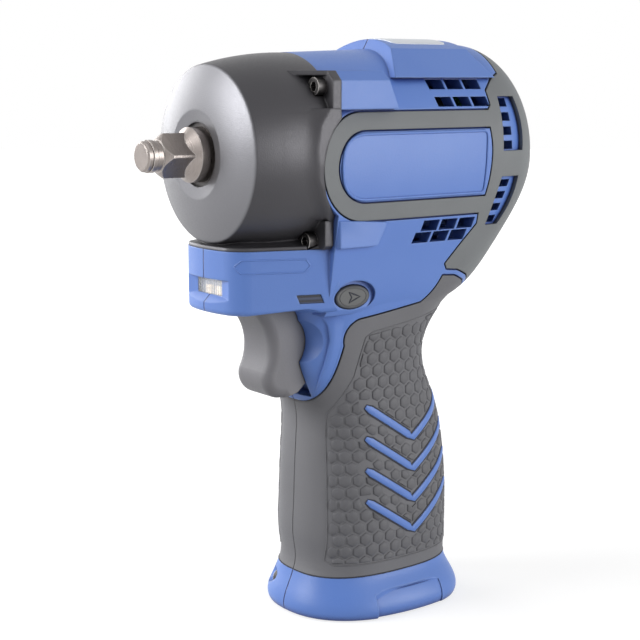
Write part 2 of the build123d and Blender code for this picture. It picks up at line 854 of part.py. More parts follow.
def friction_ring():
    groove_x = tip_x + tip_length / 2
    half = ring_wire / 2 - running
    ring = tube(groove_x - half, groove_x + half, tip_radius + ring_proud, ring_groove)
    slit = ring_slit / 2
    return ring - block(tip_x, square_front, -slit, slit, axis_z, axis_z + 2 * tip_radius)


def hammer():
    bore = spindle_radius + running
    body = tube(hammer_front, hammer_back, hammer_radius, bore)
    body -= tube(hammer_back - spring_pocket_depth, hammer_back, spring_pocket_outer, spring_pocket_inner)
    lug_front = case_inner + 2 * gap
    lug_face = polygon(
        (hammer_lug_inner, axis_z - hammer_lug_width / 2),
        (hammer_lug_outer, axis_z - hammer_lug_width / 2),
        (hammer_lug_outer, axis_z + hammer_lug_width / 2),
        (hammer_lug_inner, axis_z + hammer_lug_width / 2),
    )
    lug = front_prism(lug_face, lug_front, hammer_front)
    body += both_sides(lug)
    track = ball_radius + gap
    start, end = hammer_back - ball_back - hammer_travel, hammer_back - ball_back
    for side in (-1, 1):
        z = axis_z + side * spindle_radius
        body -= rod(start, end, track, 0, z)
        body -= Pos(start, 0, z) * Sphere(track)
        body -= Pos(end, 0, z) * Sphere(track)
    return body


def spindle():
    pilot = rod(anvil_back - pilot_length, anvil_back + gap, pilot_radius)
    shaft = rod(anvil_back + gap, cage_x, spindle_radius)
    cage = rod(cage_x, cage_end, cage_radius)
    hub = rod(cage_end, spindle_bearing_end, hub_radius)
    body = pilot + shaft + cage + hub
    sun_tip = module * sun_teeth / 2 + tooth_addendum
    body -= rod(gear_front - gap, spindle_bearing_end, sun_tip + gap)
    planet_tip = module * planet_teeth / 2 + tooth_addendum
    for angle in planet_angles:
        room = about_axis(angle) * rod(gear_front - gap, gear_back + gap, planet_tip + gap, planet_orbit)
        body -= room
        body -= about_axis(angle) * rod(cage_x, cage_end, pin_radius, planet_orbit)
    for side in (-1, 1):
        ball = Pos(hammer_back - ball_back, 0, axis_z + side * spindle_radius) * Sphere(ball_radius)
        body -= ball
    return body


def cam_balls():
    balls = Part()
    for side in (-1, 1):
        balls += Pos(hammer_back - ball_back, 0, axis_z + side * spindle_radius) * Sphere(ball_radius)
    return balls


def planet_pins():
    pins = Part()
    for angle in planet_angles:
        pins += about_axis(angle) * rod(cage_x, cage_end, pin_radius, planet_orbit)
    return pins


def coil_spring(start, end, radius, wire, turns):
    length = end - start - wire
    path = Helix(length / turns, length, radius)
    profile = Plane(path @ 0, z_dir=path % 0) * Circle(wire / 2)
    coil = sweep(profile, path=path)
    return Pos(start + wire / 2, 0, 0) * Rot(0, 90, 0) * coil


def hammer_spring():
    start, end = hammer_back - spring_pocket_depth + gap, cage_x - gap
    return Pos(0, 0, axis_z) * coil_spring(start, end, spring_radius, spring_wire, spring_turns)


# Gear train

def flank_half_angle(teeth, radius, thin):
    pitch = module * teeth / 2
    base = pitch * cos(pressure_angle)
    swing = acos(min(1.0, base / max(radius, base)))
    involute = (tan(pressure_angle) - pressure_angle) - (tan(swing) - swing)
    return pi / (2 * teeth) - thin / (2 * pitch) + involute


def gear_face(teeth, root, tip, thin, turn):
    points = []
    for tooth in range(teeth):
        middle = 2 * pi * tooth / teeth + turn
        radii = [root + (tip - root) * step / flank_steps for step in range(flank_steps + 1)]
        for radius in radii:
            angle = middle - flank_half_angle(teeth, radius, thin)
            points.append((radius * cos(angle), radius * sin(angle)))
        for radius in reversed(radii):
            angle = middle + flank_half_angle(teeth, radius, thin)
            points.append((radius * cos(angle), radius * sin(angle)))
    return polygon(*points)


def outer_gear_face(teeth, turn):
    pitch = module * teeth / 2
    return gear_face(teeth, pitch - tooth_dedendum, pitch + tooth_addendum, backlash / 2, turn)


def planet_turn(angle):
    contact = radians(angle)
    sun_phase = contact * sun_teeth / (2 * pi)
    return contact + pi - (0.5 - sun_phase) * 2 * pi / planet_teeth


def planet_gear(angle):
    y, z = planet_orbit * cos(radians(angle)), planet_orbit * sin(radians(angle))
    face = Pos(y, axis_z + z) * outer_gear_face(planet_teeth, planet_turn(angle))
    body = front_prism(face, gear_front, gear_back)
    return body - rod(gear_front, gear_back, pin_radius + running, y, axis_z + z)


def ring_gear():
    contact = radians(planet_angles[0])
    planet_phase = (contact - planet_turn(planet_angles[0])) * planet_teeth / (2 * pi)
    turn = contact - planet_phase * 2 * pi / ring_teeth
    pitch = module * ring_teeth / 2
    space = gear_face(ring_teeth, pitch - tooth_addendum, pitch + tooth_dedendum, -backlash / 2, turn)
    body = rod(gear_front, gear_back, ring_radius)
    return body - front_prism(Pos(0, axis_z) * space, gear_front, gear_back)


def gear_housing():
    return turned(
        (case_back, ring_radius),
        (case_back, gear_shell),
        (front_bearing_end, gear_shell),
        (front_bearing_end, motor_bearing_radius),
        (front_bearing_x, motor_bearing_radius),
        (front_bearing_x, hub_radius),
        (spindle_bearing_end, hub_radius),
        (spindle_bearing_end, spindle_bearing_radius),
        (spindle_bearing_x, spindle_bearing_radius),
        (spindle_bearing_x, cage_radius + gap),
        (gear_back, cage_radius + gap),
        (gear_back, ring_radius),
    )


def ball_bearing(start, outer, inner):
    race = (outer - inner) * race_share
    end = start + bearing_width
    body = tube(start, end, outer, outer - race) + tube(start, end, inner + race, inner)
    middle = (outer + inner) / 2
    radius = (outer - inner) / 2 - race - running
    count = int(ball_share * pi * middle / radius)
    for index in range(count):
        ball = Pos((start + end) / 2, middle, axis_z) * Sphere(radius)
        body += about_axis(360 * index / count) * ball
    return body


# Motor

def rotor_shaft():
    pinion = front_prism(Pos(0, axis_z) * outer_gear_face(sun_teeth, 0), gear_front, gear_back)
    shoulder = rod(gear_back, spindle_bearing_end, module * sun_teeth / 2 - tooth_dedendum)
    return pinion + shoulder + rod(spindle_bearing_end, rear_bearing_end, shaft_radius)


def magnet_places():
    return [about_axis(360 * k / magnets) for k in range(magnets)]


def magnet():
    start = (stator_front + stator_back - rotor_length) / 2
    half, thick = magnet_width / 2, magnet_thick / 2
    low, high = axis_z + magnet_offset - thick, axis_z + magnet_offset + thick
    return block(start, start + rotor_length, -half, half, low, high)


def rotor_core():
    start = (stator_front + stator_back - rotor_length) / 2
    body = tube(start, start + rotor_length, rotor_radius, shaft_radius)
    for place in magnet_places():
        body -= place * magnet()
    return body


def rotor_magnets():
    bars = Part()
    for place in magnet_places():
        bars += place * magnet()
    return bars


def stator_core():
    yoke = Circle(stator_radius) - Circle(stator_yoke)
    shoes = Circle(stator_shoe) - Circle(stator_bore)
    for index in range(slots):
        place = Rot(0, 0, 360 * index / slots)
        between = Rot(0, 0, 180 / slots)
        middle = (stator_shoe + stator_yoke) / 2
        length = stator_radius - stator_shoe
        yoke += place * Pos(middle, 0) * Rectangle(length, tooth_width)
        shoes -= place * between * Pos(stator_bore, 0) * Rectangle(2 * stator_shoe - stator_bore, slot_mouth)
    face = yoke + shoes - Circle(stator_bore)
    return front_prism(Pos(0, axis_z) * face, stator_front, stator_back)


def stator_windings():
    coils = Part()
    start, end = stator_front - coil_overhang, stator_back + coil_overhang
    half, tooth = coil_width / 2, tooth_width / 2
    for index in range(slots):
        coil = block(start, end, coil_inner, coil_outer, axis_z - half, axis_z + half)
        coil = fillet(coil.edges().filter_by(Axis.Y), coil_overhang)
        hole = block(stator_front, stator_back, coil_inner, coil_outer, axis_z - tooth, axis_z + tooth)
        coil = (coil - hole) & rod(start, end, stator_yoke)
        coils += about_axis(360 * index / slots) * coil
    return coils


def hall_sensor_board():
    return tube(hall_x, hall_x + board, board_radius, rotor_radius)


def cooling_fan():
    plate_end = fan_x + fan_plate
    body = tube(fan_x, plate_end, fan_radius, shaft_radius)
    body += tube(fan_x, fan_x + fan_height, fan_hub, shaft_radius)
    blade_end = fan_x + fan_height
    lean = Pos(0, fan_radius / 2, axis_z) * Rot(fan_lean, 0, 0) * Pos(0, -fan_radius / 2, -axis_z)
    for index in range(fan_blades):
        blade = block(plate_end, blade_end, fan_blade_start, fan_radius, axis_z, axis_z + fan_blade)
        blade = lean * blade & rod(plate_end, blade_end, fan_radius)
        body += about_axis(360 * index / fan_blades) * blade
    return body


# Controls, lights and electrics

def trigger():
    front = ThreePointArc((trigger_front, trigger_top), (trigger_waist, 89.0), (trigger_toe, 79.4))
    front += ThreePointArc((trigger_toe, 79.4), (-41.4, 72.9), (-36.4, 70.9))
    outline = front + Polyline(
        (-36.4, 70.9),
        (-31.6, 72.4),
        (trigger_back, 76.0),
        (trigger_back, trigger_top),
        (trigger_front, trigger_top),
    )
    body = side_prism(make_face(outline), -trigger_half, trigger_half)
    sides = [edge for edge in body.edges() if abs(abs(edge.center().Y) - trigger_half) < 0.01]
    rounded = [edge for edge in sides if edge.geom_type == GeomType.CIRCLE]
    return fillet(rounded, trigger_edge)


def trigger_plunger():
    return rod(trigger_back, switch_front + trigger_travel, plunger_radius, 0, plunger_z)


def trigger_spring():
    start, end = trigger_back + gap, switch_front - gap
    return Pos(0, 0, plunger_z) * coil_spring(start, end, trigger_spring_radius, trigger_wire, trigger_turns)


def switch_module():
    body = block(switch_front, switch_back, -switch_half, switch_half, switch_floor, switch_top)
    reach = switch_front + 2 * trigger_travel + 2 * gap
    return body - rod(switch_front, reach, plunger_radius + gap, 0, plunger_z)


def direction_button():
    body = side_prism(button_face(0), -button_reach, button_reach)
    ends = body.faces().sort_by(Axis.Y)
    return fillet(ends[0].edges() + ends[-1].edges(), button_edge)


def led_lens():
    return block(lens_x, lens_x + lens_thick, -lamp_half, lamp_half, lamp_floor, lamp_top)


def led_board():
    start = lens_x + lens_thick + lamp_board_gap
    return block(start, start + lamp_board, -lamp_half, lamp_half, chin_floor + wall, lamp_top)


def gauge_lens():
    whole = plan_prism(offset(chin_outline(), -gauge_inset), chin_floor, chin_top)
    inner = plan_prism(offset(chin_outline(), -gauge_thick), chin_floor, chin_top)
    return (whole - inner) & side_prism(gauge_face(0), -barrel_half, -chin_half_front)


def controller_room(border, floor, top):
    start, end = chin_front + chin_corner + border, case_back - flange - border
    half = tray_half - border
    return block(start, end, -half, half, floor, top)


def controller_tray():
    floor = chin_floor + wall
    top = floor + tray_height
    return controller_room(0, floor, top) - controller_room(tray_wall, floor + tray_wall, top)


def controller_board():
    floor = chin_floor + wall + tray_wall
    top = floor + board
    body = controller_room(tray_wall, floor, top)
    transistor = Box(transistor_length, transistor_width, transistor_height)
    middle = (chin_front + chin_corner + case_back - flange) / 2
    for row in (-0.5, 0.5):
        for column in (-1, 0, 1):
            x = middle + row * transistor_pitch_x
            y = column * transistor_pitch_y
            body += Pos(x, y, top + transistor_height / 2) * transistor
    return body


def battery_terminal_block():
    return block(
        well_x - terminal_half_x, well_x + terminal_half_x,
        -terminal_half_y, terminal_half_y, well_top, well_top + terminal_height,
    )


def battery_contacts():
    contacts = Part()
    for count in (-1, 0, 1):
        x = well_x + count * contact_pitch
        contacts += block(
            x - contact_thick / 2, x + contact_thick / 2,
            -contact_width / 2, contact_width / 2, well_top - contact_length, well_top,
        )
    return contacts


# The assembly

def halves(part, name):
    return {
        name + "_left": split(part, bisect_by=Plane.XZ, keep=Keep.TOP),
        name + "_right": split(part, bisect_by=Plane.XZ, keep=Keep.BOTTOM),
    }


def assembly():
    nodes = {}
    nodes.update(halves(housing(), "housing"))
    nodes.update(halves(head_skins(), "head_overmould"))
    nodes.update(halves(grip_skins(), "grip_overmould"))
    nodes["hammer_case"] = hammer_case()
    nodes["case_screws"] = case_screws()
    nodes["housing_screws"] = housing_screws()
    nodes["nose_bushing"] = tube(bush_front, case_inner, bush_radius, shank_radius + running)
    nodes["anvil"] = anvil()
    nodes["friction_ring"] = friction_ring()
    nodes["hammer"] = hammer()
    nodes["hammer_spring"] = hammer_spring()
    nodes["spindle"] = spindle()
    nodes["cam_balls"] = cam_balls()
    nodes["planet_pins"] = planet_pins()
    for number, angle in enumerate(planet_angles, start=1):
        nodes[f"planet_gear_{number}"] = planet_gear(angle)
    nodes["ring_gear"] = ring_gear()
    nodes["gear_housing"] = gear_housing()
    nodes["spindle_bearing"] = ball_bearing(spindle_bearing_x, spindle_bearing_radius, hub_radius + running)
    nodes["motor_front_bearing"] = ball_bearing(front_bearing_x, motor_bearing_radius, shaft_radius + running)
    nodes["motor_rear_bearing"] = ball_bearing(rear_bearing_x, motor_bearing_radius, shaft_radius + running)
    nodes["rotor_shaft"] = rotor_shaft()
    nodes["rotor_core"] = rotor_core()
    nodes["rotor_magnets"] = rotor_magnets()
    nodes["cooling_fan"] = cooling_fan()
    nodes["stator_core"] = stator_core()
    nodes["stator_windings"] = stator_windings()
    nodes["hall_sensor_board"] = hall_sensor_board()
    nodes["trigger"] = trigger()
    nodes["trigger_plunger"] = trigger_plunger()
    nodes["trigger_spring"] = trigger_spring()
    nodes["switch_module"] = switch_module()
    nodes["direction_button"] = direction_button()
    nodes["led_lens"] = led_lens()
    nodes["led_board"] = led_board()
    nodes["gauge_lens"] = gauge_lens()
    nodes["controller_tray"] = controller_tray()
    nodes["controller_board"] = controller_board()
    nodes["battery_terminal_block"] = battery_terminal_block()
    nodes["battery_contacts"] = battery_contacts()
    return nodes


os.makedirs("parts", exist_ok=True)
for node, shape in assembly().items():
    shape.label = node
    export_step(shape, f"parts/{node}.step")
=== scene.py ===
import math

import bmesh
import bpy
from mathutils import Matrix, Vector
from mathutils.bvhtree import BVHTree


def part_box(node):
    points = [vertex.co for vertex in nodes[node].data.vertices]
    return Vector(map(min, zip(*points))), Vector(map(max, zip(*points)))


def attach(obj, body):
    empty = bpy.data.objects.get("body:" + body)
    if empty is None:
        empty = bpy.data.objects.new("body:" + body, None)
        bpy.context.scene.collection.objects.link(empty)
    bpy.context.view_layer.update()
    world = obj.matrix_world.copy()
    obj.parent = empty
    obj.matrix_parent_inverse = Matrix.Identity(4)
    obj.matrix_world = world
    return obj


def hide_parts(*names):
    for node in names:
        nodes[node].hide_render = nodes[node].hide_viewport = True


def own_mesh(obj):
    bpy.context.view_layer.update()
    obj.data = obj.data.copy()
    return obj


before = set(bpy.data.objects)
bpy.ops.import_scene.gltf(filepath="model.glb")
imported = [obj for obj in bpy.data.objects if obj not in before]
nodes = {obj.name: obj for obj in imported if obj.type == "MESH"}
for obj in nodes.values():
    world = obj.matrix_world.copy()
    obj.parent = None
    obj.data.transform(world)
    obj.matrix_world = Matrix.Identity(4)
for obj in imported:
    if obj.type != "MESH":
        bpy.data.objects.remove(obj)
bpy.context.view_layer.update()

MM = 0.001
SIDES = (("left", -1), ("right", 1))


def clamp(value, low, high):
    return max(low, min(high, value))


def between(start, end, share):
    return start + (end - start) * share


def linear(red, green, blue):
    """A colour picked as 0-255 screen values, as the shaders want it."""
    def channel(value):
        value /= 255
        return value / 12.92 if value <= 0.04045 else ((value + 0.055) / 1.055) ** 2.4
    return (channel(red), channel(green), channel(blue), 1.0)


def darker(colour, share):
    return (*(part * share for part in colour[:3]), 1.0)


# Materials, with sizes in metres

BEVEL_SAMPLES, CREVICE_SAMPLES = 4, 6
EDGE_OPEN, EDGE_SHARP = 0.98, 0.75
CREVICE_DEEP, CREVICE_OPEN = 0.25, 0.8
NOISE_LOW, NOISE_HIGH = 0.3, 0.7


class Surface:
    """A node material that grows from its Principled shader."""

    def __init__(self, name, colour, roughness, metallic=0.0):
        self.material = bpy.data.materials.new(name)
        self.material.use_nodes = True
        self.tree = self.material.node_tree
        self.shader = self.tree.nodes["Principled BSDF"]
        self.place = self.node("ShaderNodeTexCoord").outputs["Object"]
        self.heights = []
        self.give("Base Color", colour)
        self.give("Roughness", roughness)
        self.give("Metallic", metallic)

    def node(self, kind, **settings):
        made = self.tree.nodes.new(kind)
        for name, value in settings.items():
            setattr(made, name, value)
        return made

    def feed(self, socket, value):
        if isinstance(value, bpy.types.NodeSocket):
            self.tree.links.new(value, socket)
        else:
            socket.default_value = value

    def give(self, name, value):
        """Feeds one of the shader's inputs."""
        self.feed(self.shader.inputs[name], value)

    def colour(self, value):
        self.give("Base Color", value)

    def maths(self, operation, first, second=0.0):
        made = self.node("ShaderNodeMath", operation=operation)
        self.feed(made.inputs[0], first)
        self.feed(made.inputs[1], second)
        return made.outputs[0]

    def spread(self, value, low, high, out_low=0.0, out_high=1.0):
        """A value from low to high drawn out from out_low to out_high, and level past the ends."""
        made = self.node("ShaderNodeMapRange", clamp=True)
        self.feed(made.inputs["Value"], value)
        self.feed(made.inputs["From Min"], low)
        self.feed(made.inputs["From Max"], high)
        self.feed(made.inputs["To Min"], out_low)
        self.feed(made.inputs["To Max"], out_high)
        return made.outputs[0]

    def noise(self, size, detail=2.0, stretch=(1, 1, 1)):
        """Noise whose grains are about size metres across."""
        mapping = self.node("ShaderNodeMapping")
        self.feed(mapping.inputs["Vector"], self.place)
        self.feed(mapping.inputs["Scale"], [factor / size for factor in stretch])
        made = self.node("ShaderNodeTexNoise")
        self.feed(made.inputs["Vector"], mapping.outputs[0])
        self.feed(made.inputs["Scale"], 1.0)
        self.feed(made.inputs["Detail"], detail)
        return made.outputs["Fac"]

    def from_noise(self, noise, low, high):
        """The usual values of a noise drawn out from low to high."""
        return self.spread(noise, NOISE_LOW, NOISE_HIGH, low, high)

    def waves(self, direction, scale):
        made = self.node("ShaderNodeTexWave", bands_direction=direction)
        self.feed(made.inputs["Vector"], self.place)
        self.feed(made.inputs["Scale"], scale)
        return made.outputs["Fac"]

    def axis(self, index):
        made = self.node("ShaderNodeSeparateXYZ")
        self.feed(made.inputs[0], self.place)
        return made.outputs[index]

    def bevel(self, radius):
        """The normal that the surface would have with its edges rounded."""
        made = self.node("ShaderNodeBevel", samples=BEVEL_SAMPLES)
        self.feed(made.inputs["Radius"], radius)
        return made.outputs[0]

    def tint(self, amount, colour, other):
        made = self.node("ShaderNodeMix", data_type="RGBA")
        self.feed(made.inputs["Factor"], amount)
        self.feed(made.inputs["A"], colour)
        self.feed(made.inputs["B"], other)
        return made.outputs["Result"]

    def clouded(self, colour, other, size, share):
        """A colour that drifts towards another in patches of about that size."""
        return self.tint(self.from_noise(self.noise(size), 0.0, share), colour, other)

    def lit_edges(self, tone, light, radius, share=1.0):
        """A tone that turns towards a lighter one along sharp outer and inner edges."""
        facing = self.node("ShaderNodeVectorMath", operation="DOT_PRODUCT")
        self.feed(facing.inputs[0], self.bevel(radius))
        self.feed(facing.inputs[1], self.node("ShaderNodeNewGeometry").outputs["Normal"])
        edges = self.spread(facing.outputs["Value"], EDGE_OPEN, EDGE_SHARP, 0.0, share)
        return self.tint(edges, tone, light)

    def painted_gap_shade(self, tone, dark, reach):
        """A tone that turns dark in corners and gaps about reach metres wide: painted shade, deeper where
        less of the surroundings is open.
        """
        shade = self.node("ShaderNodeAmbientOcclusion", samples=CREVICE_SAMPLES)
        self.feed(shade.inputs["Distance"], reach)
        return self.tint(self.spread(shade.outputs["AO"], CREVICE_DEEP, CREVICE_OPEN), dark, tone)

    def raise_by(self, height, depth):
        """Adds a height field, 0 to 1, standing depth metres high."""
        self.heights.append((height, depth))

    def rough_grain(self, size, low, high, depth):
        """Fine grain that varies the gloss and stands depth metres high."""
        grain = self.noise(size)
        self.give("Roughness", self.from_noise(grain, low, high))
        self.raise_by(grain, depth)

    def done(self, round_edges=0.0):
        normal = self.bevel(round_edges) if round_edges else None
        for height, depth in self.heights:
            bump = self.node("ShaderNodeBump")
            self.feed(bump.inputs["Strength"], 1.0)
            self.feed(bump.inputs["Distance"], depth)
            self.feed(bump.inputs["Height"], height)
            if normal is not None:
                self.feed(bump.inputs["Normal"], normal)
            normal = bump.outputs[0]
        if normal is not None:
            self.give("Normal", normal)
        return self.material


BLUE = linear(88, 124, 198)
BLUE_LIGHT = linear(118, 150, 214)
BLUE_DEEP = linear(36, 50, 116)
CHARCOAL = linear(68, 67, 71)
NOSE_FACE_HIGHLIGHT = linear(110, 110, 114)
NOSE_FROM, NOSE_TO = -0.0577, -0.0581
STEEL_EDGE_HIGHLIGHT = linear(206, 202, 198)
GROOVE_HALF, GROOVE_BRIM, GROOVE_DEPTH = 0.0001, 0.0003, 0.0002


def parting_line(surface, tone, dark):
    """A tone with a fine dark groove where the two housing halves meet."""
    beside = surface.spread(surface.maths("ABSOLUTE", surface.axis(1)), GROOVE_HALF, GROOVE_BRIM)
    surface.raise_by(beside, GROOVE_DEPTH)
    return surface.tint(beside, dark, tone)


def blue_plastic():
    surface = Surface("blue_plastic", BLUE, roughness=0.42)
    surface.rough_grain(size=0.00045, low=0.36, high=0.5, depth=0.00003)
    tone = surface.clouded(BLUE, BLUE_LIGHT, size=0.03, share=0.2)
    tone = surface.lit_edges(tone, BLUE_LIGHT, radius=0.0007, share=0.6)
    # Painted shade: the blue turns deep blue in corners and gaps.
    tone = surface.painted_gap_shade(tone, BLUE_DEEP, reach=0.004)
    surface.colour(parting_line(surface, tone, BLUE_DEEP))
    return surface.done(round_edges=0.0006)


def soft_rubber(name, colour):
    surface = Surface(name, colour, roughness=0.6)
    surface.rough_grain(size=0.0003, low=0.52, high=0.68, depth=0.00004)
    tone = surface.clouded(colour, darker(colour, 0.75), size=0.02, share=0.4)
    # Painted shade: the rubber turns darker in corners and gaps.
    tone = surface.painted_gap_shade(tone, darker(colour, 0.3), reach=0.0016)
    surface.colour(parting_line(surface, tone, darker(colour, 0.4)))
    return surface.done(round_edges=0.0005)


def case_paint():
    """Dark satin paint, more like bare metal on the turned front face, whose colour is also painted lighter
    as a painted highlight for the light that face catches.
    """
    surface = Surface("case_paint", CHARCOAL, roughness=0.4)
    surface.rough_grain(size=0.0004, low=0.34, high=0.46, depth=0.00003)
    front = surface.spread(surface.axis(0), NOSE_FROM, NOSE_TO)
    surface.give("Metallic", surface.spread(front, 0.0, 1.0, out_low=0.4, out_high=0.75))
    tone = surface.clouded(CHARCOAL, darker(CHARCOAL, 0.7), size=0.02, share=0.4)
    # Painted highlight: the front face is painted a lighter grey.
    tone = surface.tint(front, tone, NOSE_FACE_HIGHLIGHT)
    tone = surface.lit_edges(tone, NOSE_FACE_HIGHLIGHT, radius=0.0006, share=0.5)
    # Painted shade: the case turns darker in corners and gaps.
    surface.colour(surface.painted_gap_shade(tone, darker(CHARCOAL, 0.6), reach=0.003))
    return surface.done(round_edges=0.0008)


def turned_steel(name, colour, roughness):
    """Steel with fine lines round the drive axis and painted highlights along its edges."""
    surface = Surface(name, colour, roughness, metallic=1.0)
    lines = surface.noise(size=0.0002, stretch=(1.0, 0.06, 0.06))
    surface.give("Roughness", surface.from_noise(lines, roughness - 0.08, roughness + 0.1))
    tone = surface.tint(surface.from_noise(lines, 0.0, 0.5), colour, darker(colour, 0.7))
    # Painted highlight: the steel turns lighter along its edges.
    surface.colour(surface.lit_edges(tone, STEEL_EDGE_HIGHLIGHT, radius=0.0004))
    surface.raise_by(lines, depth=0.00002)
    return surface.done(round_edges=0.0004)


def dull_plastic(name, colour, roughness):
    surface = Surface(name, colour, roughness)
    surface.rough_grain(size=0.0004, low=roughness - 0.06, high=roughness + 0.08, depth=0.00004)
    tone = surface.clouded(colour, darker(colour, 0.6), size=0.012, share=0.25)
    # Painted shade: the plastic turns darker in corners and gaps.
    surface.colour(surface.painted_gap_shade(tone, darker(colour, 0.35), reach=0.0015))
    return surface.done(round_edges=0.0005)


def wound_copper():
    surface = Surface("wound_copper", linear(176, 98, 58), roughness=0.34, metallic=1.0)
    strands = surface.waves("Z", scale=700)
    surface.colour(surface.tint(strands, linear(120, 62, 34), linear(190, 108, 64)))
    surface.raise_by(strands, depth=0.0003)
    return surface.done()


def circuit_board(name, mask, track):
    surface = Surface(name, mask, roughness=0.4)
    bricks = surface.node("ShaderNodeTexBrick")
    surface.feed(bricks.inputs["Vector"], surface.place)
    surface.feed(bricks.inputs["Scale"], 260)
    tracks = bricks.outputs["Fac"]
    surface.colour(surface.tint(tracks, mask, track))
    surface.raise_by(tracks, depth=0.00005)
    return surface.done()


def clear_lens():
    surface = Surface("clear_lens", (0.95, 0.97, 1.0, 1.0), roughness=0.06)
    surface.give("Transmission Weight", 0.8)
    surface.give("IOR", 1.3)
    surface.raise_by(surface.waves("Y", scale=320), depth=0.0001)
    return surface.done(round_edges=0.0003)


def smoked_lens():
    surface = Surface("smoked_lens", linear(30, 38, 62), roughness=0.12)
    bars = surface.waves("Z", scale=230)
    surface.colour(surface.tint(bars, linear(18, 22, 40), linear(58, 68, 96)))
    surface.raise_by(surface.noise(size=0.002, detail=1), depth=0.00002)
    return surface.done(round_edges=0.0003)


def lamp_chip():
    surface = Surface("lamp_chip", linear(244, 214, 180), roughness=0.5)
    grain = surface.noise(size=0.0004)
    surface.colour(surface.tint(grain, linear(248, 232, 206), linear(236, 190, 150)))
    # Painted glow: a faint light of their own makes the chips look bright.
    surface.give("Emission Color", linear(255, 244, 214))
    surface.give("Emission Strength", 0.8)
    return surface.done()


def bare_plate():
    """Pale brushed metal with nothing on it."""
    surface = Surface("bare_plate", linear(212, 216, 222), roughness=0.36, metallic=0.2)
    brush = surface.noise(size=0.0003, stretch=(0.05, 1, 1))
    surface.colour(surface.tint(brush, linear(200, 206, 214), linear(222, 226, 232)))
    surface.raise_by(brush, depth=0.00002)
    return surface.done(round_edges=0.0002)


blue = blue_plastic()
head_rubber = soft_rubber("head_rubber", linear(116, 119, 121))
grip_rubber = soft_rubber("grip_rubber", linear(106, 106, 110))
pad_rubber = soft_rubber("pad_rubber", linear(94, 94, 98))
case = case_paint()
drive_steel = turned_steel("drive_steel", linear(148, 140, 136), roughness=0.34)
dark_steel = turned_steel("dark_steel", linear(84, 82, 82), roughness=0.4)
bright_steel = turned_steel("bright_steel", linear(186, 186, 188), roughness=0.28)
bronze = turned_steel("bronze", linear(168, 128, 82), roughness=0.36)
magnet_grey = turned_steel("magnet_grey", linear(120, 121, 126), roughness=0.42)
trigger_plastic = dull_plastic("trigger_plastic", linear(114, 113, 117), roughness=0.5)
button_plastic = dull_plastic("button_plastic", linear(84, 85, 86), roughness=0.5)
inner_plastic = dull_plastic("inner_plastic", linear(36, 36, 38), roughness=0.5)
dark_rubber_and_shade = dull_plastic("dark_rubber_and_shade", linear(40, 42, 52), roughness=0.7)
copper = wound_copper()
green_board = circuit_board("green_board", linear(26, 84, 48), linear(44, 116, 70))
white_board = circuit_board("white_board", linear(226, 228, 230), linear(206, 208, 212))
lens = clear_lens()
smoked = smoked_lens()
chip = lamp_chip()
plate = bare_plate()

FINISHES = {
    blue: ("housing_left", "housing_right"),
    head_rubber: ("head_overmould_left", "head_overmould_right"),
    grip_rubber: ("grip_overmould_left", "grip_overmould_right"),
    case: ("hammer_case",),
    drive_steel: ("anvil", "friction_ring"),
    dark_steel: (
        "case_screws", "housing_screws", "hammer", "ring_gear", "rotor_core", "stator_core", "nose_bushing",
    ),
    bright_steel: (
        "hammer_spring", "spindle", "cam_balls", "planet_pins", "planet_gear_1", "planet_gear_2",
        "planet_gear_3", "spindle_bearing", "motor_front_bearing", "motor_rear_bearing", "rotor_shaft",
        "trigger_spring",
    ),
    bronze: ("battery_contacts",),
    magnet_grey: ("rotor_magnets",),
    trigger_plastic: ("trigger",),
    button_plastic: ("direction_button",),
    inner_plastic: (
        "gear_housing", "cooling_fan", "trigger_plunger", "switch_module", "controller_tray",
        "battery_terminal_block",
    ),
    copper: ("stator_windings",),
    green_board: ("hall_sensor_board", "controller_board"),
    white_board: ("led_board",),
    lens: ("led_lens",),
    smoked: ("gauge_lens",),
}
for finish, names in FINISHES.items():
    for name in names:
        mesh = nodes[name].data
        mesh.materials.clear()
        mesh.materials.append(finish)


# Ways to lay pieces on the CAD surfaces, with sizes in millimetres from here to the stage

SHARP_ANGLE = math.radians(50)
BEAD_ROUNDING = 2
SIDE_START, TOP_START = 100 * MM, 300 * MM


def add_piece(name, data, finish, body="housing"):
    data.materials.append(finish)
    piece = bpy.data.objects.new(name, data)
    bpy.context.scene.collection.objects.link(piece)
    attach(piece, body)


def add_mesh(name, built, finish):
    bmesh.ops.recalc_face_normals(built, faces=built.faces)
    mesh = bpy.data.meshes.new(name)
    built.to_mesh(mesh)
    built.free()
    for polygon in mesh.polygons:
        polygon.use_smooth = True
    mesh.set_sharp_from_angle(angle=SHARP_ANGLE)
    add_piece(name, mesh, finish)


def add_bead(name, points, radius, finish, body="housing"):
    """A closed round bead along a line of points."""
    curve = bpy.data.curves.new(name, "CURVE")
    curve.dimensions = "3D"
    curve.bevel_depth = radius * MM
    curve.bevel_resolution = BEAD_ROUNDING
    spline = curve.splines.new("POLY")
    spline.points.add(len(points) - 1)
    for made, point in zip(spline.points, points):
        made.co = (*point, 1)
    spline.use_cyclic_u = True
    add_piece(name, curve, finish, body)


def join_rings(built, rings):
    """Walls between closed rings of vertices, and a face over the last."""
    for low, high in zip(rings, rings[1:]):
        for k in range(len(low)):
            after = (k + 1) % len(low)
            built.faces.new((low[k], low[after], high[after], high[k]))
    built.faces.new(rings[-1])


def join_rows(built, rows):
    """Quads between open rows of vertices, and a face over each end."""
    for low, high in zip(rows, rows[1:]):
        for k in range(len(low) - 1):
            built.faces.new((low[k], low[k + 1], high[k + 1], high[k]))
    built.faces.new(rows[0])
    built.faces.new(rows[-1])


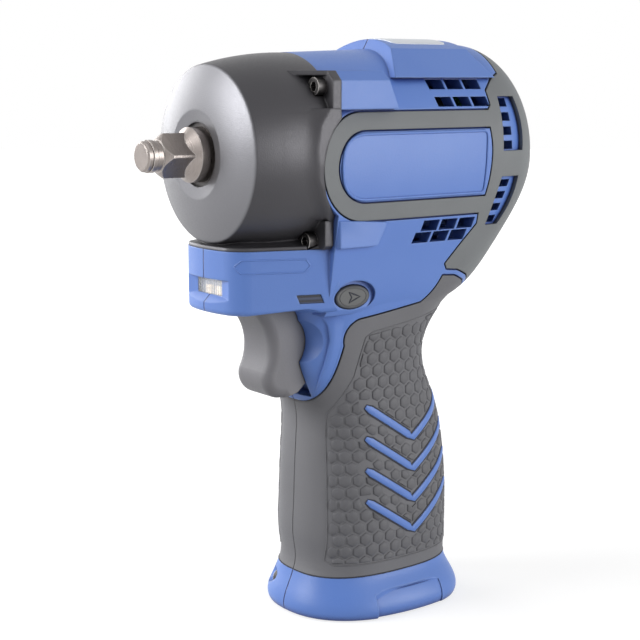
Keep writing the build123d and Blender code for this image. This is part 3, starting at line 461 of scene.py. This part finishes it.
def cover(built, outline, rings, put):
    """A thin cover: rings of (share of the outline, lift) from its border in, each point placed by put."""
    middle = sum(outline, Vector((0, 0))) / len(outline)
    made = []
    for share, lift in rings:
        made.append([built.verts.new(put(middle.lerp(corner, share), lift)) for corner in outline])
    join_rings(built, made)


def add_cover(name, outline, rings, put, finish):
    built = bmesh.new()
    cover(built, outline, rings, put)
    add_mesh(name, built, finish)


def add_sweep(name, rows, finish):
    """A form swept through rows of points."""
    built = bmesh.new()
    join_rows(built, [[built.verts.new(point) for point in row] for row in rows])
    add_mesh(name, built, finish)


def surface_of(name):
    mesh = nodes[name].data
    corners = [vertex.co for vertex in mesh.vertices]
    return BVHTree.FromPolygons(corners, [tuple(face.vertices) for face in mesh.polygons])


def cast(tree, start, direction):
    """The point and outward normal where a ray meets a surface, or None."""
    point, normal, _, _ = tree.ray_cast(start, direction)
    if point is None:
        return None
    return point, normal if normal.dot(direction) < 0 else -normal


def raised(hit, lift):
    """The point that stands lift millimetres above where a ray met a surface."""
    point, normal = hit
    return point + normal * lift * MM


def side_hit(tree, x, z, side):
    """Where a line across the tool at (x, z), in millimetres, meets that side."""
    return cast(tree, Vector((x * MM, side * SIDE_START, z * MM)), Vector((0, -side, 0)))


def top_hit(tree, x, y):
    return cast(tree, Vector((x * MM, y * MM, TOP_START)), Vector((0, 0, -1)))


def side_point(side, x, half, z):
    """The point half millimetres from the middle of the tool, on that side."""
    return Vector((x, side * half, z)) * MM


def along(pairs, value):
    """Reads a rising table of pairs, straight between them and level past its ends."""
    if value <= pairs[0][0]:
        return pairs[0][1]
    for (x0, y0), (x1, y1) in zip(pairs, pairs[1:]):
        if value <= x1:
            return y0 + (y1 - y0) * (value - x0) / (x1 - x0)
    return pairs[-1][1]


def rounded(corners, radii, steps=8):
    """A closed outline with rounded corners."""
    outline = []
    for index, radius in enumerate(radii):
        corner = Vector(corners[index])
        back = (Vector(corners[index - 1]) - corner).normalized()
        ahead = (Vector(corners[(index + 1) % len(corners)]) - corner).normalized()
        reach = radius / math.tan(back.angle(ahead) / 2)
        for step in range(steps + 1):
            share = step / steps
            outline.append(corner + back * reach * (1 - share) ** 2 + ahead * reach * share ** 2)
    return outline


def dense(outline, step=1.5):
    """The same closed outline with points at most a step apart."""
    points = []
    for start, end in zip(outline, outline[1:] + outline[:1]):
        count = max(1, math.ceil((end - start).length / step))
        points += [start.lerp(end, number / count) for number in range(count)]
    return points


def on_side(tree, outline, side, lift):
    """An outline in side view laid on that side, lift millimetres above it."""
    return [raised(side_hit(tree, x, z, side), lift) for x, z in dense(outline)]


# The grip's skin unrolled

AXIS_X = 2.0
SKIN_FLOOR, SKIN_TOP = 13, 97
ANGLE_STEPS = 36


class GripSkin:
    """One half of the grip, unrolled: u runs along the skin to the rear and is about x on the side,
    z is the height, both in millimetres."""

    def __init__(self, node, side):
        self.tree = surface_of(node)
        self.side = side
        self.rows = [self.row(z) for z in range(SKIN_FLOOR, SKIN_TOP + 1)]

    def meet(self, angle, z):
        """Where the skin is met from outside, at an angle from the rear about an upright line."""
        outward = Vector((math.cos(angle), self.side * math.sin(angle), 0))
        return cast(self.tree, Vector((AXIS_X * MM, 0, z * MM)) + outward * SIDE_START, -outward)

    def row(self, z):
        """Each u round the skin at one height, from the front to the rear, with its angle."""
        pairs = []
        for turn in (-1, 1):
            u, last = AXIS_X, self.meet(math.pi / 2, z)[0]
            for step in range(ANGLE_STEPS + 1):
                angle = math.pi / 2 * (1 + turn * step / ANGLE_STEPS)
                hit = self.meet(angle, z)
                if hit is None:
                    break
                u -= turn * (hit[0] - last).length / MM
                last = hit[0]
                if step or turn < 0:
                    pairs.append((u, angle))
        return sorted(pairs)

    def near_row(self, z):
        return self.rows[clamp(round(z) - SKIN_FLOOR, 0, len(self.rows) - 1)]

    def rear(self, z):
        return self.near_row(z)[-1][0]

    def u_at(self, x, z):
        """The u of a point on the side's front part, from its x."""
        row = [pair for pair in self.near_row(z) if pair[0] <= AXIS_X]
        return along([(self.meet(angle, round(z))[0].x / MM, u) for u, angle in row], x)

    def put(self, place, lift):
        """The point that stands lift millimetres above a place (u, z) on the skin."""
        u, z = place
        index = clamp(math.floor(z) - SKIN_FLOOR, 0, len(self.rows) - 2)
        share = clamp(z - SKIN_FLOOR - index, 0.0, 1.0)
        angle = (1 - share) * along(self.rows[index], u) + share * along(self.rows[index + 1], u)
        return raised(self.meet(angle, z), lift)


# Plain blue inlays on the grip: nested chevrons

INLAY_WIDTH = 2.4
INLAY_BED = 3.4
CHEVRON = [(-13.0, 12.0), (5.0, 0.0), (24.0, 12.7)]
CHEVRON_FLOORS = (25.0, 35.0, 45.0, 55.0)
CHEVRONS = [[Vector((u, floor + rise)) for u, rise in CHEVRON] for floor in CHEVRON_FLOORS]
INLAY_PROFILE = ((-0.5, -0.2), (-0.46, 0.3), (-0.3, 0.45), (0.3, 0.45), (0.46, 0.3), (0.5, -0.2))
BED_PROFILE = ((-0.5, -0.2), (-0.48, 0.12), (0.48, 0.12), (0.5, -0.2))
STRIP_STEPS = 10
END_WIDTH = 0.55


def strip(skin, built, line, width, profile):
    """A strip along a line on the skin, with a cross-section of shares of its width and heights."""
    stations = []
    for start, end in zip(line, line[1:]):
        stations += [start.lerp(end, step / STRIP_STEPS) for step in range(STRIP_STEPS)]
    stations.append(line[-1])
    rows = []
    for index, station in enumerate(stations):
        last = index == len(stations) - 1
        ahead = station - stations[index - 1] if last else stations[index + 1] - station
        across = Vector((-ahead.y, ahead.x)).normalized() * width
        if index == 0 or last:
            across *= END_WIDTH
        rows.append([built.verts.new(skin.put(station + across * share, lift)) for share, lift in profile])
    join_rows(built, rows)


def inlays(skin, name, width, profile, finish):
    built = bmesh.new()
    for line in CHEVRONS:
        strip(skin, built, line, width, profile)
    add_mesh(name, built, finish)


# Honeycomb pads on the grip, with a border and a dark line along the skin's lower end, which is painted
# shadow for the gap there. PANEL_FRONT gives an x for each height.

PANEL_FRONT = [(17.0, -23.4), (65.3, -22.7), (76.9, -16.6), (89.6, -13.2), (97.0, -11.5)]
PANEL_FLOOR = 17.2
PANEL_TOP_START, PANEL_TOP_SLOPE = 91.4, 0.137
PAD_PITCH = 4.4
PAD_GAP = 0.5
PAD_COLUMNS = range(-8, 14)
PAD_RINGS = ((1.0, -0.15), (0.93, 0.2), (0.78, 0.34))
PAD_CLEAR = INLAY_BED / 2 + 0.2
SEAM_CLEAR = 0.4
LEAST_PAD = 0.3
BORDER_CLEAR = 0.7
BORDER_TOP = SKIN_TOP - 2
BORDER_STEPS = 20
LINE_RADIUS = 0.22
SKIN_SEAM = 12.7
SEAM_STEPS = 48


def panel_top(u):
    return min(SKIN_TOP, PANEL_TOP_START + PANEL_TOP_SLOPE * u)


def panel_front(skin, z):
    return skin.u_at(along(PANEL_FRONT, z), z)


def in_panel(skin, place):
    """A place moved back to the panel's border where it lies outside."""
    z = clamp(place.y, PANEL_FLOOR, panel_top(place.x))
    return Vector((clamp(place.x, panel_front(skin, z), skin.rear(z) - SEAM_CLEAR), z))


def off_inlays(place, middle):
    """A pad's corner kept clear of the inlays, on the side where the pad's middle is."""
    for line in CHEVRONS:
        for start, end in zip(line, line[1:]):
            run = (end - start).normalized()
            across = Vector((-run.y, run.x))
            if (middle - start).dot(across) < 0:
                across = -across
            short = PAD_CLEAR - (place - start).dot(across)
            reached = -PAD_CLEAR < (place - start).dot(run) < (end - start).length + PAD_CLEAR
            if reached and 0 < short < PAD_PITCH:
                place = place + across * short
    return place


def area(outline):
    ends = zip(outline, outline[1:] + outline[:1])
    return abs(sum(start.x * end.y - end.x * start.y for start, end in ends)) / 2


def pad_outlines(skin):
    """Each pad's outline on the unrolled skin, cut off at the panel's border and the inlays."""
    row_pitch = 1.5 * PAD_PITCH / math.sqrt(3)
    size = (PAD_PITCH - PAD_GAP) / math.sqrt(3)
    turns = [math.pi * (k / 3 + 1 / 6) for k in range(6)]
    corners = [Vector((math.cos(turn), math.sin(turn))) * size for turn in turns]
    for row in range(math.ceil((SKIN_TOP - PANEL_FLOOR) / row_pitch) + 1):
        for column in PAD_COLUMNS:
            middle = Vector(((column + row % 2 / 2) * PAD_PITCH, PANEL_FLOOR + row_pitch * row))
            outline = [off_inlays(in_panel(skin, middle + corner), middle) for corner in corners]
            if area(outline) > LEAST_PAD * area(corners):
                yield outline


def honeycomb(skin, name):
    built = bmesh.new()
    for outline in pad_outlines(skin):
        cover(built, outline, PAD_RINGS, skin.put)
    add_mesh(name, built, pad_rubber)


def panel_border(skin, name):
    """A fine raised line round the honeycomb."""
    heights = range(math.ceil(PANEL_FLOOR), BORDER_TOP)
    shares = [step / BORDER_STEPS for step in range(1, BORDER_STEPS)]
    front = [Vector((panel_front(skin, z) - BORDER_CLEAR, z)) for z in reversed(heights)]
    front = [place for place in front if place.y < panel_top(place.x)]
    rear = [Vector((skin.rear(z) - SEAM_CLEAR / 2, z)) for z in heights]
    low_edge = [front[-1].lerp(rear[0], share) for share in shares]
    low_edge = [Vector((place.x, PANEL_FLOOR - BORDER_CLEAR)) for place in low_edge]
    high_edge = [rear[-1].lerp(front[0], share) for share in shares]
    high_edge = [Vector((place.x, panel_top(place.x) + BORDER_CLEAR)) for place in high_edge]
    points = [skin.put(place, 0.0) for place in front + low_edge + rear + high_edge]
    add_bead(name, points, LINE_RADIUS, grip_rubber)


def seam_half(skin):
    """The line along the skin's lower end, from the rear to the front."""
    return [skin.meet(math.pi * step / SEAM_STEPS, SKIN_SEAM)[0] for step in range(1, SEAM_STEPS)]


seam = []
for suffix, side in SIDES:
    skin = GripSkin(f"grip_overmould_{suffix}", side)
    honeycomb(skin, f"grip_honeycomb_{suffix}")
    panel_border(skin, f"grip_panel_border_{suffix}")
    seam += seam_half(skin)[::-side]
    inlays(skin, f"grip_inlay_beds_{suffix}", INLAY_BED, BED_PROFILE, dark_rubber_and_shade)
    inlays(skin, f"grip_inlays_{suffix}", INLAY_WIDTH, INLAY_PROFILE, blue)
# Painted shadow: a dark bead stands where the skin meets the base, in place of the shade in the gap there.
add_bead("grip_seam_shadow", seam, LINE_RADIUS, dark_rubber_and_shade)


# The side panels, the chin's rim and the bare plate on top

COVER_STEPS = 12
SIDE_RIM = rounded([(-29.8, 150.8), (27.3, 150.8), (25.9, 131.8), (-29.8, 131.8)], (9.4, 1.6, 1.6, 9.4))
SIDE_RIM_RADIUS = 0.45
SIDE_CREST, SIDE_MIDDLE, SIDE_BEND = 28.62, 141.3, 0.0072
SIDE_RINGS = [(1.0, -0.3)] + [(1 - step / COVER_STEPS, 0.0) for step in range(COVER_STEPS)]
CHIN_RIM = rounded(
    [(-57.0, 113.2), (-55.4, 115.1), (-37.2, 114.8), (-35.9, 112.9), (-37.6, 111.0), (-55.6, 111.2)],
    (0.6,) * 6,
    steps=3,
)
CHIN_RIM_RADIUS, CHIN_RIM_LIFT = 0.3, -0.1
TOP_PLATE = rounded([(4.0, -10.0), (26.0, -10.0), (26.0, 10.0), (4.0, 10.0)], (2.4,) * 4)
PLATE_FLAT, PLATE_LIFT = 0.97, 0.3
PLATE_RINGS = [(1.0, -0.1), (0.99, 0.25)]
PLATE_RINGS += [(PLATE_FLAT * (1 - step / COVER_STEPS), PLATE_LIFT) for step in range(COVER_STEPS)]


def side_panel(suffix, side):
    """The bare panel inside the ring: a smooth face with a bead round it."""
    outline = dense(SIDE_RIM)

    def put(place, lift):
        half = SIDE_CREST - SIDE_BEND * (place.y - SIDE_MIDDLE) ** 2 + lift
        return side_point(side, place.x, half, place.y)
    add_cover(f"side_panel_{suffix}", outline, SIDE_RINGS, put, blue)
    rim = [put(place, 0.0) for place in outline]
    add_bead(f"side_panel_rim_{suffix}", rim, SIDE_RIM_RADIUS, blue)


def chin_rim():
    rim = on_side(surface_of("housing_left"), CHIN_RIM, -1, CHIN_RIM_LIFT)
    add_bead("chin_rim", rim, CHIN_RIM_RADIUS, blue)


def top_plate():
    """A thin plate that follows the crown of the pad, with a rounded outline."""
    trees = {side: surface_of(f"housing_{suffix}") for suffix, side in SIDES}

    def put(place, lift):
        return top_hit(trees[-1 if place.y < 0 else 1], *place)[0] + Vector((0, 0, lift * MM))
    add_cover("top_plate", dense(TOP_PLATE), PLATE_RINGS, put, plate)


for suffix, side in SIDES:
    side_panel(suffix, side)
chin_rim()
top_plate()


# Low forms on the sides. The foot, crest, inner and outer tables give an x for each height, LIP_HALF a half
# width. A profile's pairs are a share of the way between two of these lines and the rise or lift there.

FAIRING = rounded(
    [(-30.2, 126.2), (-11.2, 124.9), (-15.4, 117.6), (-30.2, 117.6)],
    (0.3, 1.0, 1.0, 0.3),
    steps=4,
)
FAIRING_HALF = 27.4
FAIRING_SINK = 0.3
FAIRING_RINGS = ((1.0, None), (0.985, 0.0), (0.93, 1.0))
SILL_FRONT, SILL_BACK, SILL_STEPS = -12.2, 14.2, 16
SILL_LEVELS = (0.0, 1.2, 2.5, 4.0, 6.0, 7.5)
SILL_CLEAR = 0.5
SILL_BOW = 1.2
SILL_INSET_FRONT, SILL_INSET_BACK = 0.9, 0.1
SILL_FOOT = 22.6
DRUM_AXIS, DRUM_CLEAR_LEVEL = 145.0, 132.0
DRUM_FRONT, DRUM_BACK = -52.0, -35.5
DRUM_SHARES = (0.25, 0.5, 0.75)
BOSS_MIDDLE, BOSS_RADIUS = Vector((-20.2, 141.4)), 17.35
CASE_BACK = -30.5
LIP_LOW, LIP_HIGH, LIP_STEPS = 125.8, 158.4, 34
LIP_FOOT = [(126.0, -35.4), (134.0, -41.6), (141.4, -44.2), (149.7, -43.6), (156.6, -41.2), (158.4, -40.0)]
LIP_CREST = [(126.0, -32.0), (132.4, -36.2), (138.4, -39.0), (146.9, -39.4), (153.8, -37.9), (158.4, -34.2)]
LIP_HALF = [(126.0, 25.0), (131.0, 28.1), (136.0, 29.4), (143.0, 30.2), (150.0, 29.9), (158.4, 28.6)]
LIP_PROFILE = ((0.0, 0.0), (0.3, 0.06), (0.55, 0.24), (0.8, 0.56), (1.0, 1.0))
LIP_EDGE = 0.4
LIP_SKIN, LIP_END_SINK, LIP_BACK_SINK = 0.03, 0.1, 0.5
WEB_LOW, WEB_HIGH, WEB_STEPS = 72.5, 96.5, 24
WEB_FADE = 4.0
WEB_INNER = [(72.5, -26.8), (77.5, -27.2), (83.0, -26.6), (89.2, -26.0), (93.8, -26.8), (96.5, -28.8)]
WEB_OUTER = [(72.5, -25.9), (78.0, -24.3), (84.0, -23.0), (87.0, -22.4), (90.0, -22.3), (96.5, -21.2)]
WEB_PROFILE = ((0.0, -0.2), (0.05, 0.7), (0.16, 0.95), (0.5, 0.6), (1.0, -0.05))


def fade(value, low, high, reach):
    """1 between two limits, falling to 0 at them."""
    return clamp(min((value - low) / reach, (high - value) / reach), 0.0, 1.0)


def fairing(suffix, side):
    """The low step behind the lower ear of the hammer case."""
    tree = surface_of(f"housing_{suffix}")

    def put(place, rise):
        """A point on the housing at rise 0 and on the step at 1, or sunk in the housing with no rise."""
        half = abs(side_hit(tree, *place, side)[0].y) / MM
        half = half - FAIRING_SINK if rise is None else between(half, FAIRING_HALF, rise)
        return side_point(side, place.x, half, place.y)
    add_cover(f"lower_fairing_{suffix}", FAIRING, FAIRING_RINGS, put, blue)


def release_sill(suffix, side):
    """The shallow ledge low on the base, where the battery's release sits."""
    tree = surface_of(f"housing_{suffix}")
    ends = []
    for x in (SILL_FRONT - SILL_CLEAR, SILL_BACK + SILL_CLEAR):
        ends.append([abs(side_hit(tree, x, z, side)[0].y) / MM for z in SILL_LEVELS])
    rows = []
    for step in range(SILL_STEPS + 1):
        share = step / SILL_STEPS
        x = between(SILL_FRONT, SILL_BACK, share)
        inset = between(SILL_INSET_FRONT, SILL_INSET_BACK, share)
        bow = SILL_BOW * (1 - (2 * share - 1) ** 2) - inset
        row = [(SILL_FOOT, SILL_LEVELS[0])]
        row += [(between(front, back, share) + bow, z) for front, back, z in zip(*ends, SILL_LEVELS)]
        row.append((SILL_FOOT, SILL_LEVELS[-1]))
        rows.append([side_point(side, x, half, z) for half, z in row])
    add_sweep(f"release_sill_{suffix}", rows, blue)


def flange_lip(suffix, side):
    """The drum's side running on evenly and then rising in a hollow curve to the flange round the boss."""
    tree = surface_of("hammer_case")

    def drum(x, z):
        across = side_hit(tree, min(x, DRUM_BACK), DRUM_CLEAR_LEVEL, side)[0].y / MM
        radius = math.hypot(across, DRUM_CLEAR_LEVEL - DRUM_AXIS)
        return math.sqrt(radius ** 2 - (z - DRUM_AXIS) ** 2)

    rows = []
    for step in range(LIP_STEPS + 1):
        z = between(LIP_LOW, LIP_HIGH, step / LIP_STEPS)
        level = LIP_SKIN if 0 < step < LIP_STEPS else -LIP_END_SINK
        foot, crest, top = along(LIP_FOOT, z), along(LIP_CREST, z), along(LIP_HALF, z)
        arc = math.sqrt(max(0.0, BOSS_RADIUS ** 2 - (z - BOSS_MIDDLE.y) ** 2))
        back = min(CASE_BACK, BOSS_MIDDLE.x - arc)
        row = [(DRUM_FRONT, drum(DRUM_FRONT, z) - LIP_SKIN)]
        for share in DRUM_SHARES:
            x = between(DRUM_FRONT, foot, share)
            row.append((x, drum(x, z) + level))
        for share, rise in LIP_PROFILE:
            x = between(foot, crest, share)
            row.append((x, between(drum(x, z) + level, top, rise)))
        row += [(crest + LIP_EDGE, top), (back, top), (back, drum(back, z) - LIP_BACK_SINK)]
        rows.append([side_point(side, x, half, z) for x, half in row])
    add_sweep(f"flange_lip_{suffix}", rows, case)


def web_rim(suffix, side):
    """The raised edge of the scoop behind the trigger."""
    tree = surface_of(f"housing_{suffix}")
    rows = []
    for step in range(WEB_STEPS + 1):
        z = between(WEB_LOW, WEB_HIGH, step / WEB_STEPS)
        strength = fade(z, WEB_LOW, WEB_HIGH, WEB_FADE)
        inner, outer = along(WEB_INNER, z), along(WEB_OUTER, z)
        row = []
        for share, lift in WEB_PROFILE:
            hit = side_hit(tree, between(inner, outer, share), z, side)
            row.append(raised(hit, lift * strength))
        rows.append(row)
    add_sweep(f"web_rim_{suffix}", rows, blue)


for suffix, side in SIDES:
    fairing(suffix, side)
    release_sill(suffix, side)
    flange_lip(suffix, side)
    web_rim(suffix, side)


# A raised rim and a pointer on each end of the direction button

BUTTON_RIM_SHARE, BUTTON_RIM_STEPS, BUTTON_RIM_RADIUS = 0.78, 40, 0.22
POINTER = ((-2.6, 0.0), (1.6, 1.6), (0.56, 0.0), (1.6, -1.6))
POINTER_RADIUS = 0.25
MARK_LIFT = -0.05


def button_marks():
    low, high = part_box("direction_button")
    middle = Vector((low[0] + high[0], low[2] + high[2])) / 2 / MM
    half = Vector((high[0] - low[0], high[2] - low[2])) / 2 / MM
    tree = surface_of("direction_button")
    turns = [math.tau * step / BUTTON_RIM_STEPS for step in range(BUTTON_RIM_STEPS)]
    oval = [Vector((half.x * math.cos(turn), half.y * math.sin(turn))) for turn in turns]
    rim = [middle + place * BUTTON_RIM_SHARE for place in oval]
    for suffix, side in SIDES:
        pointer = [middle + Vector((side * x, z)) for x, z in POINTER]
        add_bead(
            f"button_rim_{suffix}", on_side(tree, rim, side, MARK_LIFT), BUTTON_RIM_RADIUS,
            button_plastic, "direction_button",
        )
        add_bead(
            f"button_pointer_{suffix}", on_side(tree, pointer, side, MARK_LIFT), POINTER_RADIUS,
            dark_rubber_and_shade, "direction_button",
        )


button_marks()


# Work light

CHIP_DEPTH, CHIP_WIDTH, CHIP_ROUNDING = 0.6, 2.6, 0.2
CHIP_PLACES = (-2.6, 2.6)


def lamp_chips():
    low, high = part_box("led_board")
    built = bmesh.new()
    for y in CHIP_PLACES:
        middle = Vector((low[0] - CHIP_DEPTH / 2 * MM, y * MM, (low[2] + high[2]) / 2))
        made = bmesh.ops.create_cube(built, size=1.0)
        for vertex in made["verts"]:
            corner = vertex.co
            sizes = Vector((CHIP_DEPTH * corner.x, CHIP_WIDTH * corner.y, CHIP_WIDTH * corner.z)) * MM
            vertex.co = middle + sizes
    bmesh.ops.bevel(built, geom=list(built.edges), offset=CHIP_ROUNDING * MM, segments=2, affect="EDGES")
    add_mesh("lamp_chips", built, chip)


lamp_chips()


# Springs, each a copy of its mesh on the body that carries it: the node, the body that carries it, the joint
# that presses it, the x of its fixed end and the joint's travel

SPRINGS = (
    ("hammer_spring", "spindle", "hammer_slide", -26.7, 5.6),
    ("trigger_spring", "housing", "trigger_slide", -20.3, 6.0),
)


def pressed_spring(node, body, joint, fixed_end, travel):
    """A copy of the spring's mesh, carried by the body and shown in place of the node. fixed_end and travel
    are not used.
    """
    piece = bpy.data.objects.new(f"{node}_coils", nodes[node].data.copy())
    bpy.context.scene.collection.objects.link(piece)
    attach(piece, body)
    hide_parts(node)
    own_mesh(piece)


for spring in SPRINGS:
    pressed_spring(*spring)


# Stage, with sizes in metres

LIGHT_AIM = Vector((0, 0, 0.1))
FLOOR_RADIUS, FLOOR_SIDES, FLOOR_LEVEL = 3.0, 64, -0.5 * MM
FLOOR_GREY = (0.4, 0.4, 0.4, 1)
FLOOR_NEAR, FLOOR_FAR, FLOOR_NEAR_GLOW = 0.1, 0.6, 0.7
WHITE = (1, 1, 1, 1)


def area_light(name, place, size, level):
    """A soft lamp aimed at the tool, where it shows white paper at that level of brightness."""
    aim = LIGHT_AIM - Vector(place)
    light = bpy.data.lights.new(name, "AREA")
    light.shape = "DISK"
    light.size = size
    light.energy = level * (math.pi * aim.length) ** 2
    lamp = bpy.data.objects.new(name, light)
    lamp.location = place
    lamp.rotation_euler = aim.to_track_quat("-Z", "Y").to_euler()
    bpy.context.scene.collection.objects.link(lamp)


def shown_rays(tree):
    """1 for rays that show the background: to the camera, off gloss or through glass."""
    rays = tree.nodes.new("ShaderNodeLightPath")
    total = rays.outputs["Is Camera Ray"]
    for name in ("Is Glossy Ray", "Is Transmission Ray"):
        either = tree.nodes.new("ShaderNodeMath")
        either.operation = "MAXIMUM"
        tree.links.new(total, either.inputs[0])
        tree.links.new(rays.outputs[name], either.inputs[1])
        total = either.outputs[0]
    return total


def white_floor():
    """A pale floor that shows white, with the tool's soft shadow on it."""
    built = bmesh.new()
    bmesh.ops.create_circle(built, cap_ends=True, segments=FLOOR_SIDES, radius=FLOOR_RADIUS)
    mesh = bpy.data.meshes.new("floor")
    built.to_mesh(mesh)
    built.free()
    paint = Surface("floor_paint", FLOOR_GREY, roughness=0.9)
    distance = paint.node("ShaderNodeVectorMath", operation="LENGTH")
    paint.feed(distance.inputs[0], paint.place)
    glow = paint.spread(distance.outputs["Value"], FLOOR_NEAR, FLOOR_FAR, FLOOR_NEAR_GLOW, 1.0)
    paint.give("Emission Color", WHITE)
    paint.give("Emission Strength", paint.maths("MULTIPLY", glow, shown_rays(paint.tree)))
    mesh.materials.append(paint.done())
    floor = bpy.data.objects.new("floor", mesh)
    floor.location = (0, 0, FLOOR_LEVEL)
    bpy.context.scene.collection.objects.link(floor)


def white_world(level):
    """A white backdrop that lights the tool at that level."""
    world = bpy.data.worlds.new("studio")
    bpy.context.scene.world = world
    world.use_nodes = True
    tree = world.node_tree
    background = tree.nodes["Background"]
    background.inputs["Color"].default_value = WHITE
    strength = tree.nodes.new("ShaderNodeMapRange")
    strength.inputs["To Min"].default_value = level
    tree.links.new(shown_rays(tree), strength.inputs["Value"])
    tree.links.new(strength.outputs[0], background.inputs["Strength"])


white_floor()
white_world(level=0.25)
area_light("left", place=(-1.0, 0.4, 0.55), size=0.7, level=0.85)
area_light("right", place=(0.5, -1.0, 0.3), size=0.8, level=0.76)
area_light("back", place=(-0.2, 1.1, 0.4), size=0.7, level=0.45)


# Camera at the photograph's viewing angle

AZIMUTH, ELEVATION = math.radians(-36.8), math.radians(9.61)
TARGET = Vector((-16.65, 0, 92.01)) * MM
DISTANCE = 449.55 * MM
FOCAL_PIXELS, IMAGE_PIXELS = 1433.0, 640.0
SENSOR_WIDTH = 36.0

optics = bpy.data.cameras.new("camera")
optics.sensor_width = SENSOR_WIDTH
optics.lens = FOCAL_PIXELS / IMAGE_PIXELS * SENSOR_WIDTH
camera = bpy.data.objects.new("camera", optics)
away = Vector((
    math.sin(AZIMUTH) * math.cos(ELEVATION),
    -math.cos(AZIMUTH) * math.cos(ELEVATION),
    math.sin(ELEVATION),
))
camera.location = TARGET + away * DISTANCE
camera.rotation_euler = (-away).to_track_quat("-Z", "Y").to_euler()
bpy.context.scene.collection.objects.link(camera)
bpy.context.scene.camera = camera
bpy.context.scene.view_settings.view_transform = "Standard"
